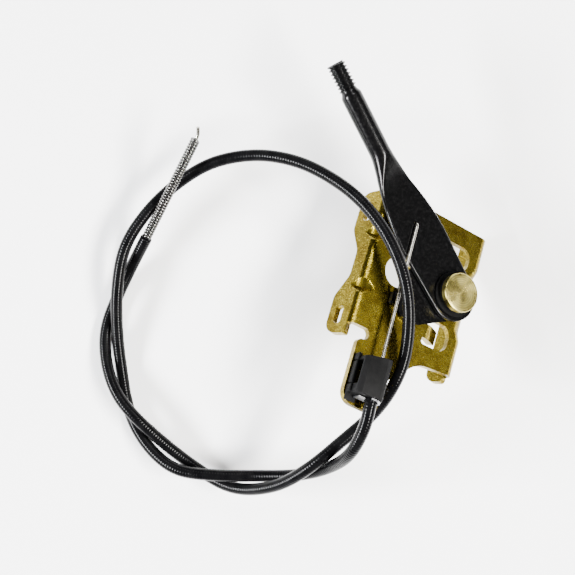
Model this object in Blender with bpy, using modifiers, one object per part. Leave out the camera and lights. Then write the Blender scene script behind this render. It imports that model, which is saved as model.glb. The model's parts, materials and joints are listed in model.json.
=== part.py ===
"""Throttle control lever: stamped bracket, swinging lever, wire and free Bowden cable.

Sizes are in millimetres and MM turns them into metres. Bracket parts are drawn in the bracket's
own frame: the pivot is at its origin on the plate's top face, +X points across the plate to the
short flange, +Y runs along the bends and +Z is the plate's normal. An empty places that frame
above the table, tilted the way the bracket leans on its short flange and its cable.
"""
import math

import bmesh
import bpy
import numpy as np
from mathutils import Matrix, Vector

MM = 0.001
GAP = 0.3                      # clearance between solids that touch on the real object

# Finishes: colour, metallic, roughness
GOLD = ((0.62, 0.44, 0.12), 1.0, 0.38)
BLACK_STEEL = ((0.015, 0.015, 0.017), 0.3, 0.4)
BLACK_FIBRE = ((0.02, 0.02, 0.02), 0.0, 0.7)
BLACK_PLASTIC = ((0.03, 0.03, 0.032), 0.0, 0.5)
GLOSS_BLACK = ((0.012, 0.012, 0.014), 0.0, 0.25)
STEEL = ((0.6, 0.6, 0.6), 1.0, 0.3)
ZINC = ((0.55, 0.55, 0.57), 1.0, 0.4)
NYLON = ((0.75, 0.74, 0.7), 0.0, 0.5)

# Where the bracket leans: pivot position above the table, plate normal and bend direction
PIVOT = (12.89, -19.87, 20.31)
PLATE_NORMAL = (0.502, 0.160, 0.850)
BEND_DIRECTION = (0.2765, 0.902, -0.333)

# Bracket
SHEET = 2.2
LEFT_START = -29.8             # where the panel flange's bend begins
RIGHT_START = 7.9              # where the short flange's bend begins
LEFT_TURN = math.radians(70)   # the two flanges are parallel, and lean over together
RIGHT_TURN = math.radians(110)
LEFT_BEND = 3.2                # outer bend radii
RIGHT_BEND = 2.9
PLATE_TOP = 25.5
PLATE_TOP_LEFT = 26.2
PLATE_BOTTOM = -24.8
EAR_TOP = 24.4
EAR_DEPTH = 8.2                # depths are measured past the bend
WAIST_DEPTH = 4.1
SHORT_DEPTH = 6.8
SHORT_END = -27.2
FLANGE_END = -27.0
FLANGE_MIDDLE = -1.6
ARM_LEFT = -28.0
ARM_RIGHT = -14.2
ARM_END = -48.8
NOTCH_TOP = -22.9
NOTCH_BOTTOM = -26.8
NOTCH_END = -24.4
SLOT_Y = 18.8
SLOT_DEPTH = 4.2
SLOT_LENGTH = 6.6
SLOT_WIDTH = 3.0
CLEAR_HOLE = (-20.1, 0.0, 5.3)
WINDOW_CENTRE = (0.2, 14.4)    # the two lanced windows, mirrored in Y
WINDOW_SIZE = (10.2, 9.4)
TAB_WIDTH = 5.0
TAB_LENGTH = 8.0
TAB_BEND = 7.0
TAB_TURN = math.radians(34)
GUSSET_Y = 9.6
GUSSET_HALF = 2.6
GUSSET_REACH = 4.6
GUSSET_DEPTH = 2.1
SCALLOP = 2.3                  # how far the short flange's bend steps in beside the pivot
SCALLOP_START = 2.8
SCALLOP_LOW = (-13.2, -8.4)    # the step in Y, below and above the pivot
SCALLOP_HIGH = (9.6, 14.4)

# Pivot stack, heights above the plate
STUD_RADIUS = 3.0
TAIL_RADIUS = 2.4
STAKE_RADIUS = 3.5
HEAD_RADIUS = 6.62
HEAD_BASE = 6.7
HEAD_TOP = 9.0
BUSH_RADIUS = 4.0
WASHER_STEPS = 40

# Lever, drawn along its own +X from the pivot
LEVER_ANGLE = 141.6            # degrees from the bracket's +X
LEVER_LENGTH = 86.2
PIVOT_END = 9.0
BLADE_HALF = 0.8
BLADE_MIDDLE = 3.35
ROD_RADIUS = 3.55
THREAD_START = 76.6
THREAD_OUTER = 3.17
THREAD_INNER = 2.48
THREAD_PITCH = 1.27
WIRE_HOLE = 26.8
BLADE_WIDTHS = [               # half widths along the blade, from the pivot to the round rod
    (0.0, 9.0), (12.0, 9.5), (23.0, 9.75), (30.0, 9.0), (36.0, 7.8), (42.0, 6.2), (48.0, 4.6), (54.0, 3.55),
]

# Wire, clip and conduit
WIRE_RADIUS = 0.6
WIRE_HEIGHT = 4.95
CLIP_LINE_X = -19.9            # the wire and conduit run along this line in the clip
CLIP_FRONT = -31.2
CLIP_REAR = -46.0
CLIP_LEFT = -26.8
CLIP_RIGHT = -16.2
CLIP_LEDGE = -27.5
CLIP_TOP = 7.4
CLIP_SHOULDER = 4.6            # where the clip's sides begin to round over
CLIP_SIDE = -23.0              # wall between the side recess and the conduit's bore
CLIP_SLANT = 0.2               # the clip's front face steps back to the left
WIRE_PLAY = 1.3                # extra room to the left in the clip for the wire as the lever swings
RETAINER_RIM = 0.55            # width of the strip that hooks round the conduit
RETAINER_SHEET = 0.5
WIRE_END = -41.4               # where the wire meets the conduit inside the clip
CONDUIT_RADIUS = 2.1
COIL_RADIUS = 1.75
COIL_BORE = 0.95
CABLE_POINTS = 78
FLOOR_START = 59               # the route point where the stretch on the table begins

ROUTE = [
    (-12.5, -49.0, 46.6), (-14.3, -54.8, 48.8), (-15.1, -59.4, 48.2), (-19.3, -69.1, 43.5),
    (-26.3, -76.2, 28.8), (-36.9, -80.0, 18.8), (-51.5, -81.0, 12.8), (-66.2, -80.9, 11.3),
    (-79.0, -79.1, 8.8), (-88.6, -71.6, 5.3), (-95.1, -60.4, 2.7), (-98.1, -44.8, 2.5),
    (-99.3, -29.8, 5.9), (-98.7, -16.0, 9.5), (-96.0, -3.0, 10.9), (-88.4, 8.8, 12.3),
    (-78.4, 18.2, 13.5), (-66.0, 25.3, 16.8), (-51.3, 27.7, 20.3), (-37.9, 25.4, 24.8),
    (-26.4, 19.7, 29.3), (-16.3, 11.5, 34.3), (-8.1, 0.2, 39.1), (-3.1, -11.8, 41.0),
    (-1.2, -22.5, 40.8), (-1.5, -34.5, 39.3), (-2.9, -41.6, 39.1), (-5.3, -47.5, 38.3),
    (-8.2, -52.9, 35.5), (-12.8, -58.9, 32.1), (-22.8, -67.7, 31.0), (-33.3, -76.5, 28.9),
    (-44.6, -83.5, 20.4), (-59.4, -85.4, 9.5), (-72.4, -78.9, 4.7), (-92.5, -61.7, 7.9),
    (-99.5, -52.8, 7.1), (-103.3, -41.2, 4.3), (-103.4, -30.9, 2.5), (-99.7, -20.5, 2.4),
    (-94.2, -9.4, 5.3), (-88.7, 0.1, 11.3),
]
COIL_TIP = (-70.5, 33.2, 26.8)


# ---------------------------------------------------------------- helpers
def clear_scene():
    for item in list(bpy.data.objects):
        bpy.data.objects.remove(item, do_unlink=True)


def collection(name):
    made = bpy.data.collections.new(name)
    bpy.context.scene.collection.children.link(made)
    return made


def material(name, color, metallic, roughness):
    made = bpy.data.materials.new(name)
    made.use_nodes = True
    shader = made.node_tree.nodes["Principled BSDF"]
    shader.inputs["Base Color"].default_value = (*color, 1.0)
    shader.inputs["Metallic"].default_value = metallic
    shader.inputs["Roughness"].default_value = roughness
    return made


def empty(name, parent=None, matrix=None):
    made = bpy.data.objects.new(name, None)
    PARTS.objects.link(made)
    made.parent = parent
    made.matrix_basis = matrix or Matrix.Identity(4)
    return made


def part(name, mesh, finish, parent=None, smooth=35.0):
    """Adds a named sub-part whose mesh is already in metres."""
    made = bpy.data.objects.new(name, mesh)
    PARTS.objects.link(made)
    made.parent = parent
    mesh.materials.clear()
    mesh.materials.append(material(name, *finish))
    mesh.shade_smooth()
    mesh.set_sharp_from_angle(angle=math.radians(smooth))
    return made


def mesh_from(bm, name):
    bmesh.ops.recalc_face_normals(bm, faces=bm.faces)
    mesh = bpy.data.meshes.new(name)
    bm.to_mesh(mesh)
    bm.free()
    return mesh


def evaluated(item, name):
    """The mesh of an object with its modifiers applied; the object is removed."""
    bpy.context.view_layer.update()
    graph = bpy.context.evaluated_depsgraph_get()
    mesh = bpy.data.meshes.new_from_object(item.evaluated_get(graph))
    mesh.name = name
    bpy.data.objects.remove(item, do_unlink=True)
    bm = bmesh.new()
    bm.from_mesh(mesh)
    bmesh.ops.remove_doubles(bm, verts=bm.verts, dist=1e-6)
    bm.to_mesh(mesh)
    bm.free()
    return mesh


def rounded(corners, steps=4):
    """A closed outline from (x, y, radius) corners, each corner as a tangent arc."""
    points = []
    for i, (x, y, radius) in enumerate(corners):
        here = Vector((x, y))
        before = (Vector(corners[i - 1][:2]) - here).normalized()
        after = (Vector(corners[(i + 1) % len(corners)][:2]) - here).normalized()
        half = before.angle(after) / 2
        if radius <= 0 or half > math.radians(89):
            points.append(here)
            continue
        reach = radius / math.tan(half)
        centre = here + (before + after).normalized() * radius / math.sin(half)
        start = here + before * reach - centre
        turn = start.angle_signed(here + after * reach - centre)
        for step in range(steps + 1):
            spin = Matrix.Rotation(-turn * step / steps, 2)
            points.append(centre + spin @ start)
    return points


def circle(x, y, radius, steps=24):
    angles = [2 * math.pi * i / steps for i in range(steps)]
    return [Vector((x + radius * math.cos(a), y + radius * math.sin(a))) for a in angles]


def flat_curve(name, outlines, thickness=0.0):
    """A filled 2D curve; the later outlines are holes. Its middle is at z = 0."""
    data = bpy.data.curves.new(name, "CURVE")
    data.dimensions = "2D"
    data.fill_mode = "BOTH"
    data.extrude = thickness / 2 * MM
    for outline in outlines:
        spline = data.splines.new("POLY")
        spline.points.add(len(outline) - 1)
        for point, place in zip(spline.points, outline):
            point.co = (place[0] * MM, place[1] * MM, 0, 1)
        spline.use_cyclic_u = True
    made = bpy.data.objects.new(name, data)
    PARTS.objects.link(made)
    return evaluated(made, name)


def turned(name, profile, finish, parent, steps=WASHER_STEPS, closed=True):
    """A turned piece: (radius, z) points running down the outer side, about +Z."""
    mesh = bpy.data.meshes.new(name)
    vertices = [(radius * MM, 0, z * MM) for radius, z in profile]
    edges = [(i, i + 1) for i in range(len(profile) - 1)]
    if closed:
        edges.append((len(profile) - 1, 0))
    mesh.from_pydata(vertices, edges, [])
    made = part(name, mesh, finish, parent)
    screw = made.modifiers.new("turn", "SCREW")
    screw.axis = "Z"
    screw.steps = steps
    screw.render_steps = steps
    screw.use_merge_vertices = True
    screw.merge_threshold = 0.00001
    screw.use_smooth_shade = False
    return made


def ring(name, inner, outer, bottom, top, finish, parent, chamfer=0.15):
    profile = [
        (inner, top),
        (outer - chamfer, top),
        (outer, top - chamfer),
        (outer, bottom + chamfer),
        (outer - chamfer, bottom),
        (inner, bottom),
    ]
    return turned(name, profile, finish, parent)


def loft(name, rings):
    """One closed skin through equal rings of points, capped at both ends."""
    bm = bmesh.new()
    rows = [[bm.verts.new(Vector(p) * MM) for p in row] for row in rings]
    for low, high in zip(rows, rows[1:]):
        count = len(low)
        for i in range(count):
            j = (i + 1) % count
            bm.faces.new((low[i], low[j], high[j], high[i]))
    bm.faces.new(rows[0])
    bm.faces.new(rows[-1])
    return mesh_from(bm, name)


def cylinder(radius, length, centre, axis="Z", steps=WASHER_STEPS):
    bm = bmesh.new()
    bmesh.ops.create_cone(
        bm, cap_ends=True, segments=steps, radius1=radius * MM, radius2=radius * MM, depth=length * MM
    )
    if axis == "Y":
        bmesh.ops.rotate(bm, verts=bm.verts, matrix=Matrix.Rotation(math.pi / 2, 3, "X"))
    bmesh.ops.translate(bm, verts=bm.verts, vec=Vector(centre) * MM)
    return bm


def box(low, high, bevel=0.0):
    bm = bmesh.new()
    bmesh.ops.create_cube(bm, size=1.0)
    low, high = Vector(low) * MM, Vector(high) * MM
    bmesh.ops.scale(bm, vec=high - low, verts=bm.verts)
    bmesh.ops.translate(bm, vec=(high + low) / 2, verts=bm.verts)
    if bevel:
        bmesh.ops.bevel(bm, geom=bm.edges[:], offset=bevel * MM, segments=2, profile=0.5, affect="EDGES")
    return bm


def boolean(item, bm, operation="DIFFERENCE"):
    """Cuts or joins a cutter mesh, drawn in the same frame as the item."""
    cutter = bpy.data.objects.new(item.name + "_cutter", mesh_from(bm, item.name + "_cutter"))
    CUTTERS.objects.link(cutter)
    cutter.parent = item.parent
    cutter.hide_render = True
    cutter.display_type = "WIRE"
    change = item.modifiers.new(operation.lower(), "BOOLEAN")
    change.operation = operation
    change.solver = "EXACT"
    change.object = cutter


def smoothstep(value, start, end):
    share = min(max((value - start) / (end - start), 0.0), 1.0)
    return share * share * (3 - 2 * share)


def spline_points(points, count):
    """Evenly spaced points on a centripetal Catmull-Rom curve through the route's points."""
    points = np.array(points, float)
    ends = [2 * points[0] - points[1]], [2 * points[-1] - points[-2]]
    control = np.vstack([ends[0], points, ends[1]])
    dense = []
    for i in range(1, len(control) - 2):
        p0, p1, p2, p3 = control[i - 1:i + 3]
        t1 = np.linalg.norm(p1 - p0) ** 0.5
        t2 = t1 + np.linalg.norm(p2 - p1) ** 0.5
        t3 = t2 + np.linalg.norm(p3 - p2) ** 0.5
        for t in np.linspace(t1, t2, 24, endpoint=False):
            a1 = (t1 - t) / t1 * p0 + t / t1 * p1
            a2 = (t2 - t) / (t2 - t1) * p1 + (t - t1) / (t2 - t1) * p2
            a3 = (t3 - t) / (t3 - t2) * p2 + (t - t2) / (t3 - t2) * p3
            b1 = (t2 - t) / t2 * a1 + t / t2 * a2
            b2 = (t3 - t) / (t3 - t1) * a2 + (t - t1) / (t3 - t1) * a3
            dense.append((t2 - t) / (t2 - t1) * b1 + (t - t1) / (t2 - t1) * b2)
    dense.append(points[-1])
    dense = np.array(dense)
    along = np.concatenate([[0], np.cumsum(np.linalg.norm(np.diff(dense, axis=0), axis=1))])
    even = np.linspace(0, along[-1], count)
    return np.column_stack([np.interp(even, along, dense[:, k]) for k in range(3)])


def tube(name, points, radius, finish, parent=None, sides=2):
    """A capped tube along straight spans between points in millimetres."""
    data = bpy.data.curves.new(name, "CURVE")
    data.dimensions = "3D"
    data.bevel_depth = radius * MM
    data.bevel_resolution = sides
    data.use_fill_caps = True
    spline = data.splines.new("POLY")
    spline.points.add(len(points) - 1)
    for point, place in zip(spline.points, points):
        point.co = (place[0] * MM, place[1] * MM, place[2] * MM, 1)
    made = bpy.data.objects.new(name, data)
    PARTS.objects.link(made)
    return part(name, evaluated(made, name), finish, parent)


# ---------------------------------------------------------------- bracket
def panel_u(depth):
    """Flat-pattern position of a point that deep down the panel flange, past its bend."""
    return LEFT_START - LEFT_BEND * LEFT_TURN - depth


def short_u(depth):
    return RIGHT_START + RIGHT_BEND * RIGHT_TURN + depth


def fold(run, radius, turn):
    """How far across and how far down a point of a bent sheet lies, from where its bend begins."""
    angle = min(run / radius, turn)
    past = run - radius * angle
    across, down = radius * math.sin(angle), radius * (1 - math.cos(angle))
    return across + past * math.cos(angle), down + past * math.sin(angle)


def bent(u, y):
    """Top or outer face of the folded sheet at a point of its flat pattern."""
    x, z = u, 0.0
    if u < LEFT_START:
        out, down = fold(LEFT_START - u, LEFT_BEND, LEFT_TURN)
        x, z = LEFT_START - out, -down
    elif u > RIGHT_START:
        out, down = fold(u - RIGHT_START, RIGHT_BEND, RIGHT_TURN)
        x, z = RIGHT_START + out, -down
    push = dart(u, y)
    x += push * math.sin(LEFT_TURN / 2)
    z -= push * math.cos(LEFT_TURN / 2)
    beside_pivot = smoothstep(y, *SCALLOP_LOW) * (1 - smoothstep(y, *SCALLOP_HIGH))
    reach = smoothstep(u, SCALLOP_START, RIGHT_START) * (1 - smoothstep(u, RIGHT_START, short_u(2.0)))
    return Vector((x - SCALLOP * beside_pivot * reach, y, z))


def dart(u, y):
    """Depth of the stiffening darts pressed into the panel bend: lens-shaped, with a sharp valley."""
    along = (u - LEFT_START + LEFT_BEND * LEFT_TURN / 2) / GUSSET_REACH
    side = abs(abs(y) - GUSSET_Y)
    half = GUSSET_HALF * (1 - along * along)
    if abs(along) >= 1 or side >= half:
        return 0.0
    return GUSSET_DEPTH * (1 - along * along) * (1 - side / half)


def window_outline(side):
    """A lanced window with a tongue left standing from its left edge."""
    cx, cy = WINDOW_CENTRE[0], side * WINDOW_CENTRE[1]
    left, right = cx - WINDOW_SIZE[0] / 2, cx + WINDOW_SIZE[0] / 2
    low, high = cy - WINDOW_SIZE[1] / 2, cy + WINDOW_SIZE[1] / 2
    tab_low, tab_high = cy - TAB_WIDTH / 2, cy + TAB_WIDTH / 2
    tab_end = left + TAB_LENGTH
    return rounded([
        (left, low, 1.2), (left, tab_low, 0.0), (tab_end, tab_low, 0.8), (tab_end, tab_high, 0.8),
        (left, tab_high, 0.0), (left, high, 1.2), (right, high, 3.6), (right, low, 3.6),
    ])


def tongue(u, y):
    """Where a point of a window's tongue goes once it is curled down."""
    left = WINDOW_CENTRE[0] - WINDOW_SIZE[0] / 2
    out, down = fold(u - left, TAB_BEND, TAB_TURN)
    return Vector((left + out, y, -down))


def on_tongue(u, y):
    left = WINDOW_CENTRE[0] - WINDOW_SIZE[0] / 2
    beside = abs(abs(y) - WINDOW_CENTRE[1]) <= TAB_WIDTH / 2 + 0.01
    return beside and left - 0.01 <= u <= left + TAB_LENGTH + 0.01


def bracket_outline():
    deep, waist = panel_u(EAR_DEPTH), panel_u(WAIST_DEPTH)
    short_edge, short_bend = short_u(SHORT_DEPTH), short_u(0)
    return rounded([
        (deep, EAR_TOP, 3.6),
        (LEFT_START, PLATE_TOP_LEFT, 8.0),
        (short_edge, PLATE_TOP, 1.2),
        (short_edge, SHORT_END, 3.4),
        (short_bend, SHORT_END, 1.2),
        (short_bend, PLATE_BOTTOM, 0.6),
        (-3.5, PLATE_BOTTOM - 1.4, 10.0),
        (ARM_RIGHT, PLATE_BOTTOM - 11.9, 10.0),
        (ARM_RIGHT, ARM_END, 2.5),
        (ARM_LEFT, ARM_END, 4.5),
        (ARM_LEFT, NOTCH_BOTTOM, 1.8),
        (NOTCH_END, NOTCH_BOTTOM, 1.8),
        (NOTCH_END, NOTCH_TOP, 1.8),
        (panel_u(-0.6), NOTCH_TOP, 0.6),
        (panel_u(-0.6), FLANGE_END, 0.8),
        (deep, FLANGE_END, 4.0),
        (deep, FLANGE_MIDDLE - 12.2, 5.0),
        (waist, FLANGE_MIDDLE - 4.6, 5.0),
        (waist, FLANGE_MIDDLE + 4.6, 5.0),
        (deep, FLANGE_MIDDLE + 12.2, 5.0),
    ], steps=5)


def mounting_bracket(frame):
    slots = []
    for side in (-1, 1):
        u, half, end = panel_u(SLOT_DEPTH), SLOT_WIDTH / 2, SLOT_LENGTH / 2
        y = FLANGE_MIDDLE + side * SLOT_Y
        slots.append(rounded([
            (u - half, y - end, half - 0.01), (u - half, y + end, half - 0.01),
            (u + half, y + end, half - 0.01), (u + half, y - end, half - 0.01),
        ]))
    holes = [circle(*CLEAR_HOLE), circle(0, 0, TAIL_RADIUS + GAP), window_outline(-1), window_outline(1)]
    mesh = flat_curve("mounting_bracket", [bracket_outline(), *holes, *slots])
    bm = bmesh.new()
    bm.from_mesh(mesh)
    bmesh.ops.scale(bm, verts=bm.verts, vec=(1 / MM,) * 3)
    tab_left = WINDOW_CENTRE[0] - WINDOW_SIZE[0] / 2
    dart_end = panel_u(-LEFT_BEND * LEFT_TURN / 2) + GUSSET_REACH
    folds = [dart_end, dart_end - 1.0]
    folds += [LEFT_START - LEFT_BEND * LEFT_TURN / 5 * k for k in range(6)]
    folds += [panel_u(1.2), panel_u(2.6)]
    folds += [SCALLOP_START + (RIGHT_START - SCALLOP_START) * k / 5 for k in range(5)]
    folds += [RIGHT_START + RIGHT_BEND * RIGHT_TURN / 6 * k for k in range(7)]
    folds += [short_u(1.0), short_u(2.0)]
    folds += [tab_left + TAB_BEND * TAB_TURN / 3 * k for k in range(4)]
    for place in folds:
        cut_line(bm, Vector((place, 0, 0)), Vector((1, 0, 0)), -99, 99)
    rows = [side * (GUSSET_Y + GUSSET_HALF * k / 4) for k in range(-4, 5) for side in (-1, 1)]
    for place in rows:
        cut_line(bm, Vector((0, place, 0)), Vector((0, 1, 0)), -99, dart_end + 0.05)
    for low, high in (SCALLOP_LOW, SCALLOP_HIGH):
        for k in range(5):
            place = low + (high - low) * k / 4
            cut_line(bm, Vector((0, place, 0)), Vector((0, 1, 0)), SCALLOP_START - 0.05, 99)
    for vertex in bm.verts:
        u, y = vertex.co.x, vertex.co.y
        vertex.co = (tongue(u, y) if on_tongue(u, y) else bent(u, y)) * MM
    bmesh.ops.remove_doubles(bm, verts=bm.verts, dist=0.02 * MM)
    bmesh.ops.dissolve_limit(bm, angle_limit=math.radians(0.4), verts=bm.verts, edges=bm.edges)
    bmesh.ops.triangulate(bm, faces=bm.faces)
    for face in bm.faces:
        face.normal_update()
    up = sum(face.normal.z * face.calc_area() for face in bm.faces)
    if up < 0:
        bmesh.ops.reverse_faces(bm, faces=bm.faces)
    bm.to_mesh(mesh)
    bm.free()
    made = part("mounting_bracket", mesh, GOLD, frame, smooth=28.0)
    wall = made.modifiers.new("sheet", "SOLIDIFY")
    wall.thickness = SHEET * MM
    wall.offset = -1.0
    return made


def cut_line(bm, place, normal, low, high):
    """Adds an edge line across the faces that lie between two flat-pattern positions."""
    faces = [face for face in bm.faces if all(low <= vertex.co.x <= high for vertex in face.verts)]
    edges = {edge for face in faces for edge in face.edges}
    verts = {vertex for face in faces for vertex in face.verts}
    bmesh.ops.bisect_plane(bm, geom=[*faces, *edges, *verts], dist=1e-5, plane_co=place, plane_no=normal)


# ---------------------------------------------------------------- pivot stack
def pivot_stack(frame):
    edge = 0.35
    back = -SHEET - GAP
    stake = back - 1.1 - GAP
    turned("pivot_stud", [
        (0, HEAD_TOP), (HEAD_RADIUS - edge, HEAD_TOP), (HEAD_RADIUS, HEAD_TOP - edge),
        (HEAD_RADIUS, HEAD_BASE), (STUD_RADIUS, HEAD_BASE), (STUD_RADIUS, GAP), (TAIL_RADIUS, GAP),
        (TAIL_RADIUS, stake), (STAKE_RADIUS, stake), (STAKE_RADIUS, stake - 0.5),
        (STAKE_RADIUS - 0.8, stake - 1.1), (0, stake - 1.3),
    ], GOLD, frame, steps=48, closed=False)
    inner = STUD_RADIUS + GAP
    ring("lower_friction_washer", inner, 7.8, GAP, 0.95, BLACK_FIBRE, frame)
    stop_plate(frame)
    ring("upper_friction_washer", inner, 7.6, 4.45, 5.15, BLACK_FIBRE, frame)
    wave_washer(frame, inner, 6.3, 5.75)
    ring("head_spacer", inner, 5.7, 6.2, 6.42, BLACK_STEEL, frame, chamfer=0.05)
    ring("backing_washer", TAIL_RADIUS + GAP, 4.1, back - 1.1, back, ZINC, frame)


def wave_washer(frame, inner, outer, middle):
    """A thin ring with three waves that keeps the stack tight."""
    steps, half, wave = 48, 0.14, 0.14
    rings = []
    for i in range(steps):
        angle = 2 * math.pi * i / steps
        height = middle + wave * math.sin(3 * angle)
        c, s = math.cos(angle), math.sin(angle)
        rings.append([
            (inner * c, inner * s, height + half), (outer * c, outer * s, height + half),
            (outer * c, outer * s, height - half), (inner * c, inner * s, height - half),
        ])
    bm = bmesh.new()
    rows = [[bm.verts.new(Vector(p) * MM) for p in row] for row in rings]
    for i, low in enumerate(rows):
        high = rows[(i + 1) % steps]
        for k in range(4):
            bm.faces.new((low[k], low[(k + 1) % 4], high[(k + 1) % 4], high[k]))
    part("wave_washer", mesh_from(bm, "wave_washer"), BLACK_STEEL, frame)


def stop_plate(frame):
    """The black plate under the lever: a sector with a tab curled down beside the round hole."""
    outline = rounded([
        (8.2, 2.0, 7.0), (2.0, 8.2, 7.0), (-15.0, 6.5, 3.0), (-19.6, -1.5, 3.0), (-19.6, -7.6, 0.5),
        (-21.2, -7.6, 0.4), (-21.2, -11.8, 0.8), (-17.6, -11.8, 0.5), (-15.8, -14.4, 1.5),
        (-9.4, -14.9, 1.8), (2.0, -8.6, 7.0),
    ])
    mesh = flat_curve("stop_plate", [outline, circle(0, 0, STUD_RADIUS + GAP, 40)], 1.0)
    mesh.transform(Matrix.Translation((0, 0, 1.75 * MM)))
    made = part("stop_plate", mesh, BLACK_STEEL, frame)
    boolean(made, box((-21.2, -11.7, 0.35), (-20.1, -7.7, 1.6)), "UNION")
    return made


# ---------------------------------------------------------------- lever
def half_width(x):
    if x <= 0:
        return math.sqrt(max(PIVOT_END ** 2 - x * x, 0.0))
    if x >= BLADE_WIDTHS[-1][0]:
        return ROD_RADIUS
    places = [p for p, _ in BLADE_WIDTHS]
    widths = [w for _, w in BLADE_WIDTHS]
    slopes = np.gradient(widths, places)
    slopes[-1] = -0.05
    k = max(i for i in range(len(places) - 1) if places[i] <= x)
    span = places[k + 1] - places[k]
    t = (x - places[k]) / span
    return (
        (1 + 2 * t) * (1 - t) ** 2 * widths[k] + t * (1 - t) ** 2 * span * slopes[k]
        + t * t * (3 - 2 * t) * widths[k + 1] + t * t * (t - 1) * span * slopes[k + 1]
    )


def lever_section(x, angles):
    """A flattened round bar: the blade is the bar's section pressed down to the sheet's height."""
    wide = half_width(x)
    clip = BLADE_HALF + (ROD_RADIUS + 0.4 - BLADE_HALF) * smoothstep(x, 39.5, 55.0)
    middle = BLADE_MIDDLE + 1.45 * smoothstep(x, 39.5, 54.0) + max(x - 50.0, 0.0) * 0.026
    points = []
    for angle in angles:
        radius = ROD_RADIUS
        if x > THREAD_START:
            turn = (x / THREAD_PITCH + angle / (2 * math.pi)) % 1.0
            ridge = 1 - abs(2 * turn - 1)
            radius = THREAD_INNER + (THREAD_OUTER - THREAD_INNER) * ridge
            if x > LEVER_LENGTH - 1.0:
                radius = min(radius, THREAD_OUTER - (x - LEVER_LENGTH + 1.0) * 0.6)
            points.append((x, radius * math.cos(angle), middle + radius * math.sin(angle)))
            continue
        if x > THREAD_START - 2.4:
            radius -= 0.85 * smoothstep(x, THREAD_START - 2.4, THREAD_START)
            points.append((x, radius * math.cos(angle), middle + radius * math.sin(angle)))
            continue
        height = min(max(radius * math.sin(angle), -clip), clip)
        points.append((x, wide * math.cos(angle), middle + height))
    return points


def control_lever(axle):
    angles = [2 * math.pi * i / 20 + math.pi / 20 for i in range(20)]
    places = [-8.95, -8.6, -7.8, -6.4, -4.6, -2.4, 0.0, 8.0, 16.0, 24.0, 29.0, 33.0, 36.5, 39.5]
    places += [41.5 + 1.7 * k for k in range(9)]
    places += [64.0, 74.2, 75.0, 75.8, 76.6]
    step = THREAD_PITCH / 6
    places += [THREAD_START + step * k for k in range(1, int((LEVER_LENGTH - THREAD_START) / step))]
    places.append(LEVER_LENGTH)
    mesh = loft("control_lever", [lever_section(x, angles) for x in places])
    made = part("control_lever", mesh, BLACK_STEEL, axle, smooth=40.0)
    boolean(made, cylinder(BUSH_RADIUS + GAP, 6.0, (0, 0, BLADE_MIDDLE)))
    boolean(made, cylinder(0.95, 6.0, (WIRE_HOLE, 0, BLADE_MIDDLE), steps=16))
    ring("lever_bushing", STUD_RADIUS + 0.07, BUSH_RADIUS, 2.6, 4.1, NYLON, axle, chamfer=0.2)


# ---------------------------------------------------------------- wire
def throttle_wire(hook):
    """Drawn from the lever's hole: down through it, and back along -Y to the clip."""
    reach = WIRE_END - hook_place().y
    drift = CLIP_LINE_X - hook_place().x
    level = WIRE_HEIGHT - BLADE_MIDDLE
    below = -BLADE_HALF - WIRE_RADIUS - 0.35
    path = [
        (0, 2.4, below), (0, 1.2, below), (0, 0.5, below + 0.15), (0, 0.1, below + 0.6),
        (0, 0, below + 1.1), (0, 0, level - 1.0), (0, -0.2, level - 0.45), (0, -0.6, level - 0.1),
        (0, -1.2, level), (drift, reach, level),
    ]
    tube("throttle_wire", path, WIRE_RADIUS, STEEL, hook, sides=1)


def hook_place():
    angle = math.radians(LEVER_ANGLE)
    return Vector((WIRE_HOLE * math.cos(angle), WIRE_HOLE * math.sin(angle), BLADE_MIDDLE))


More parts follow.
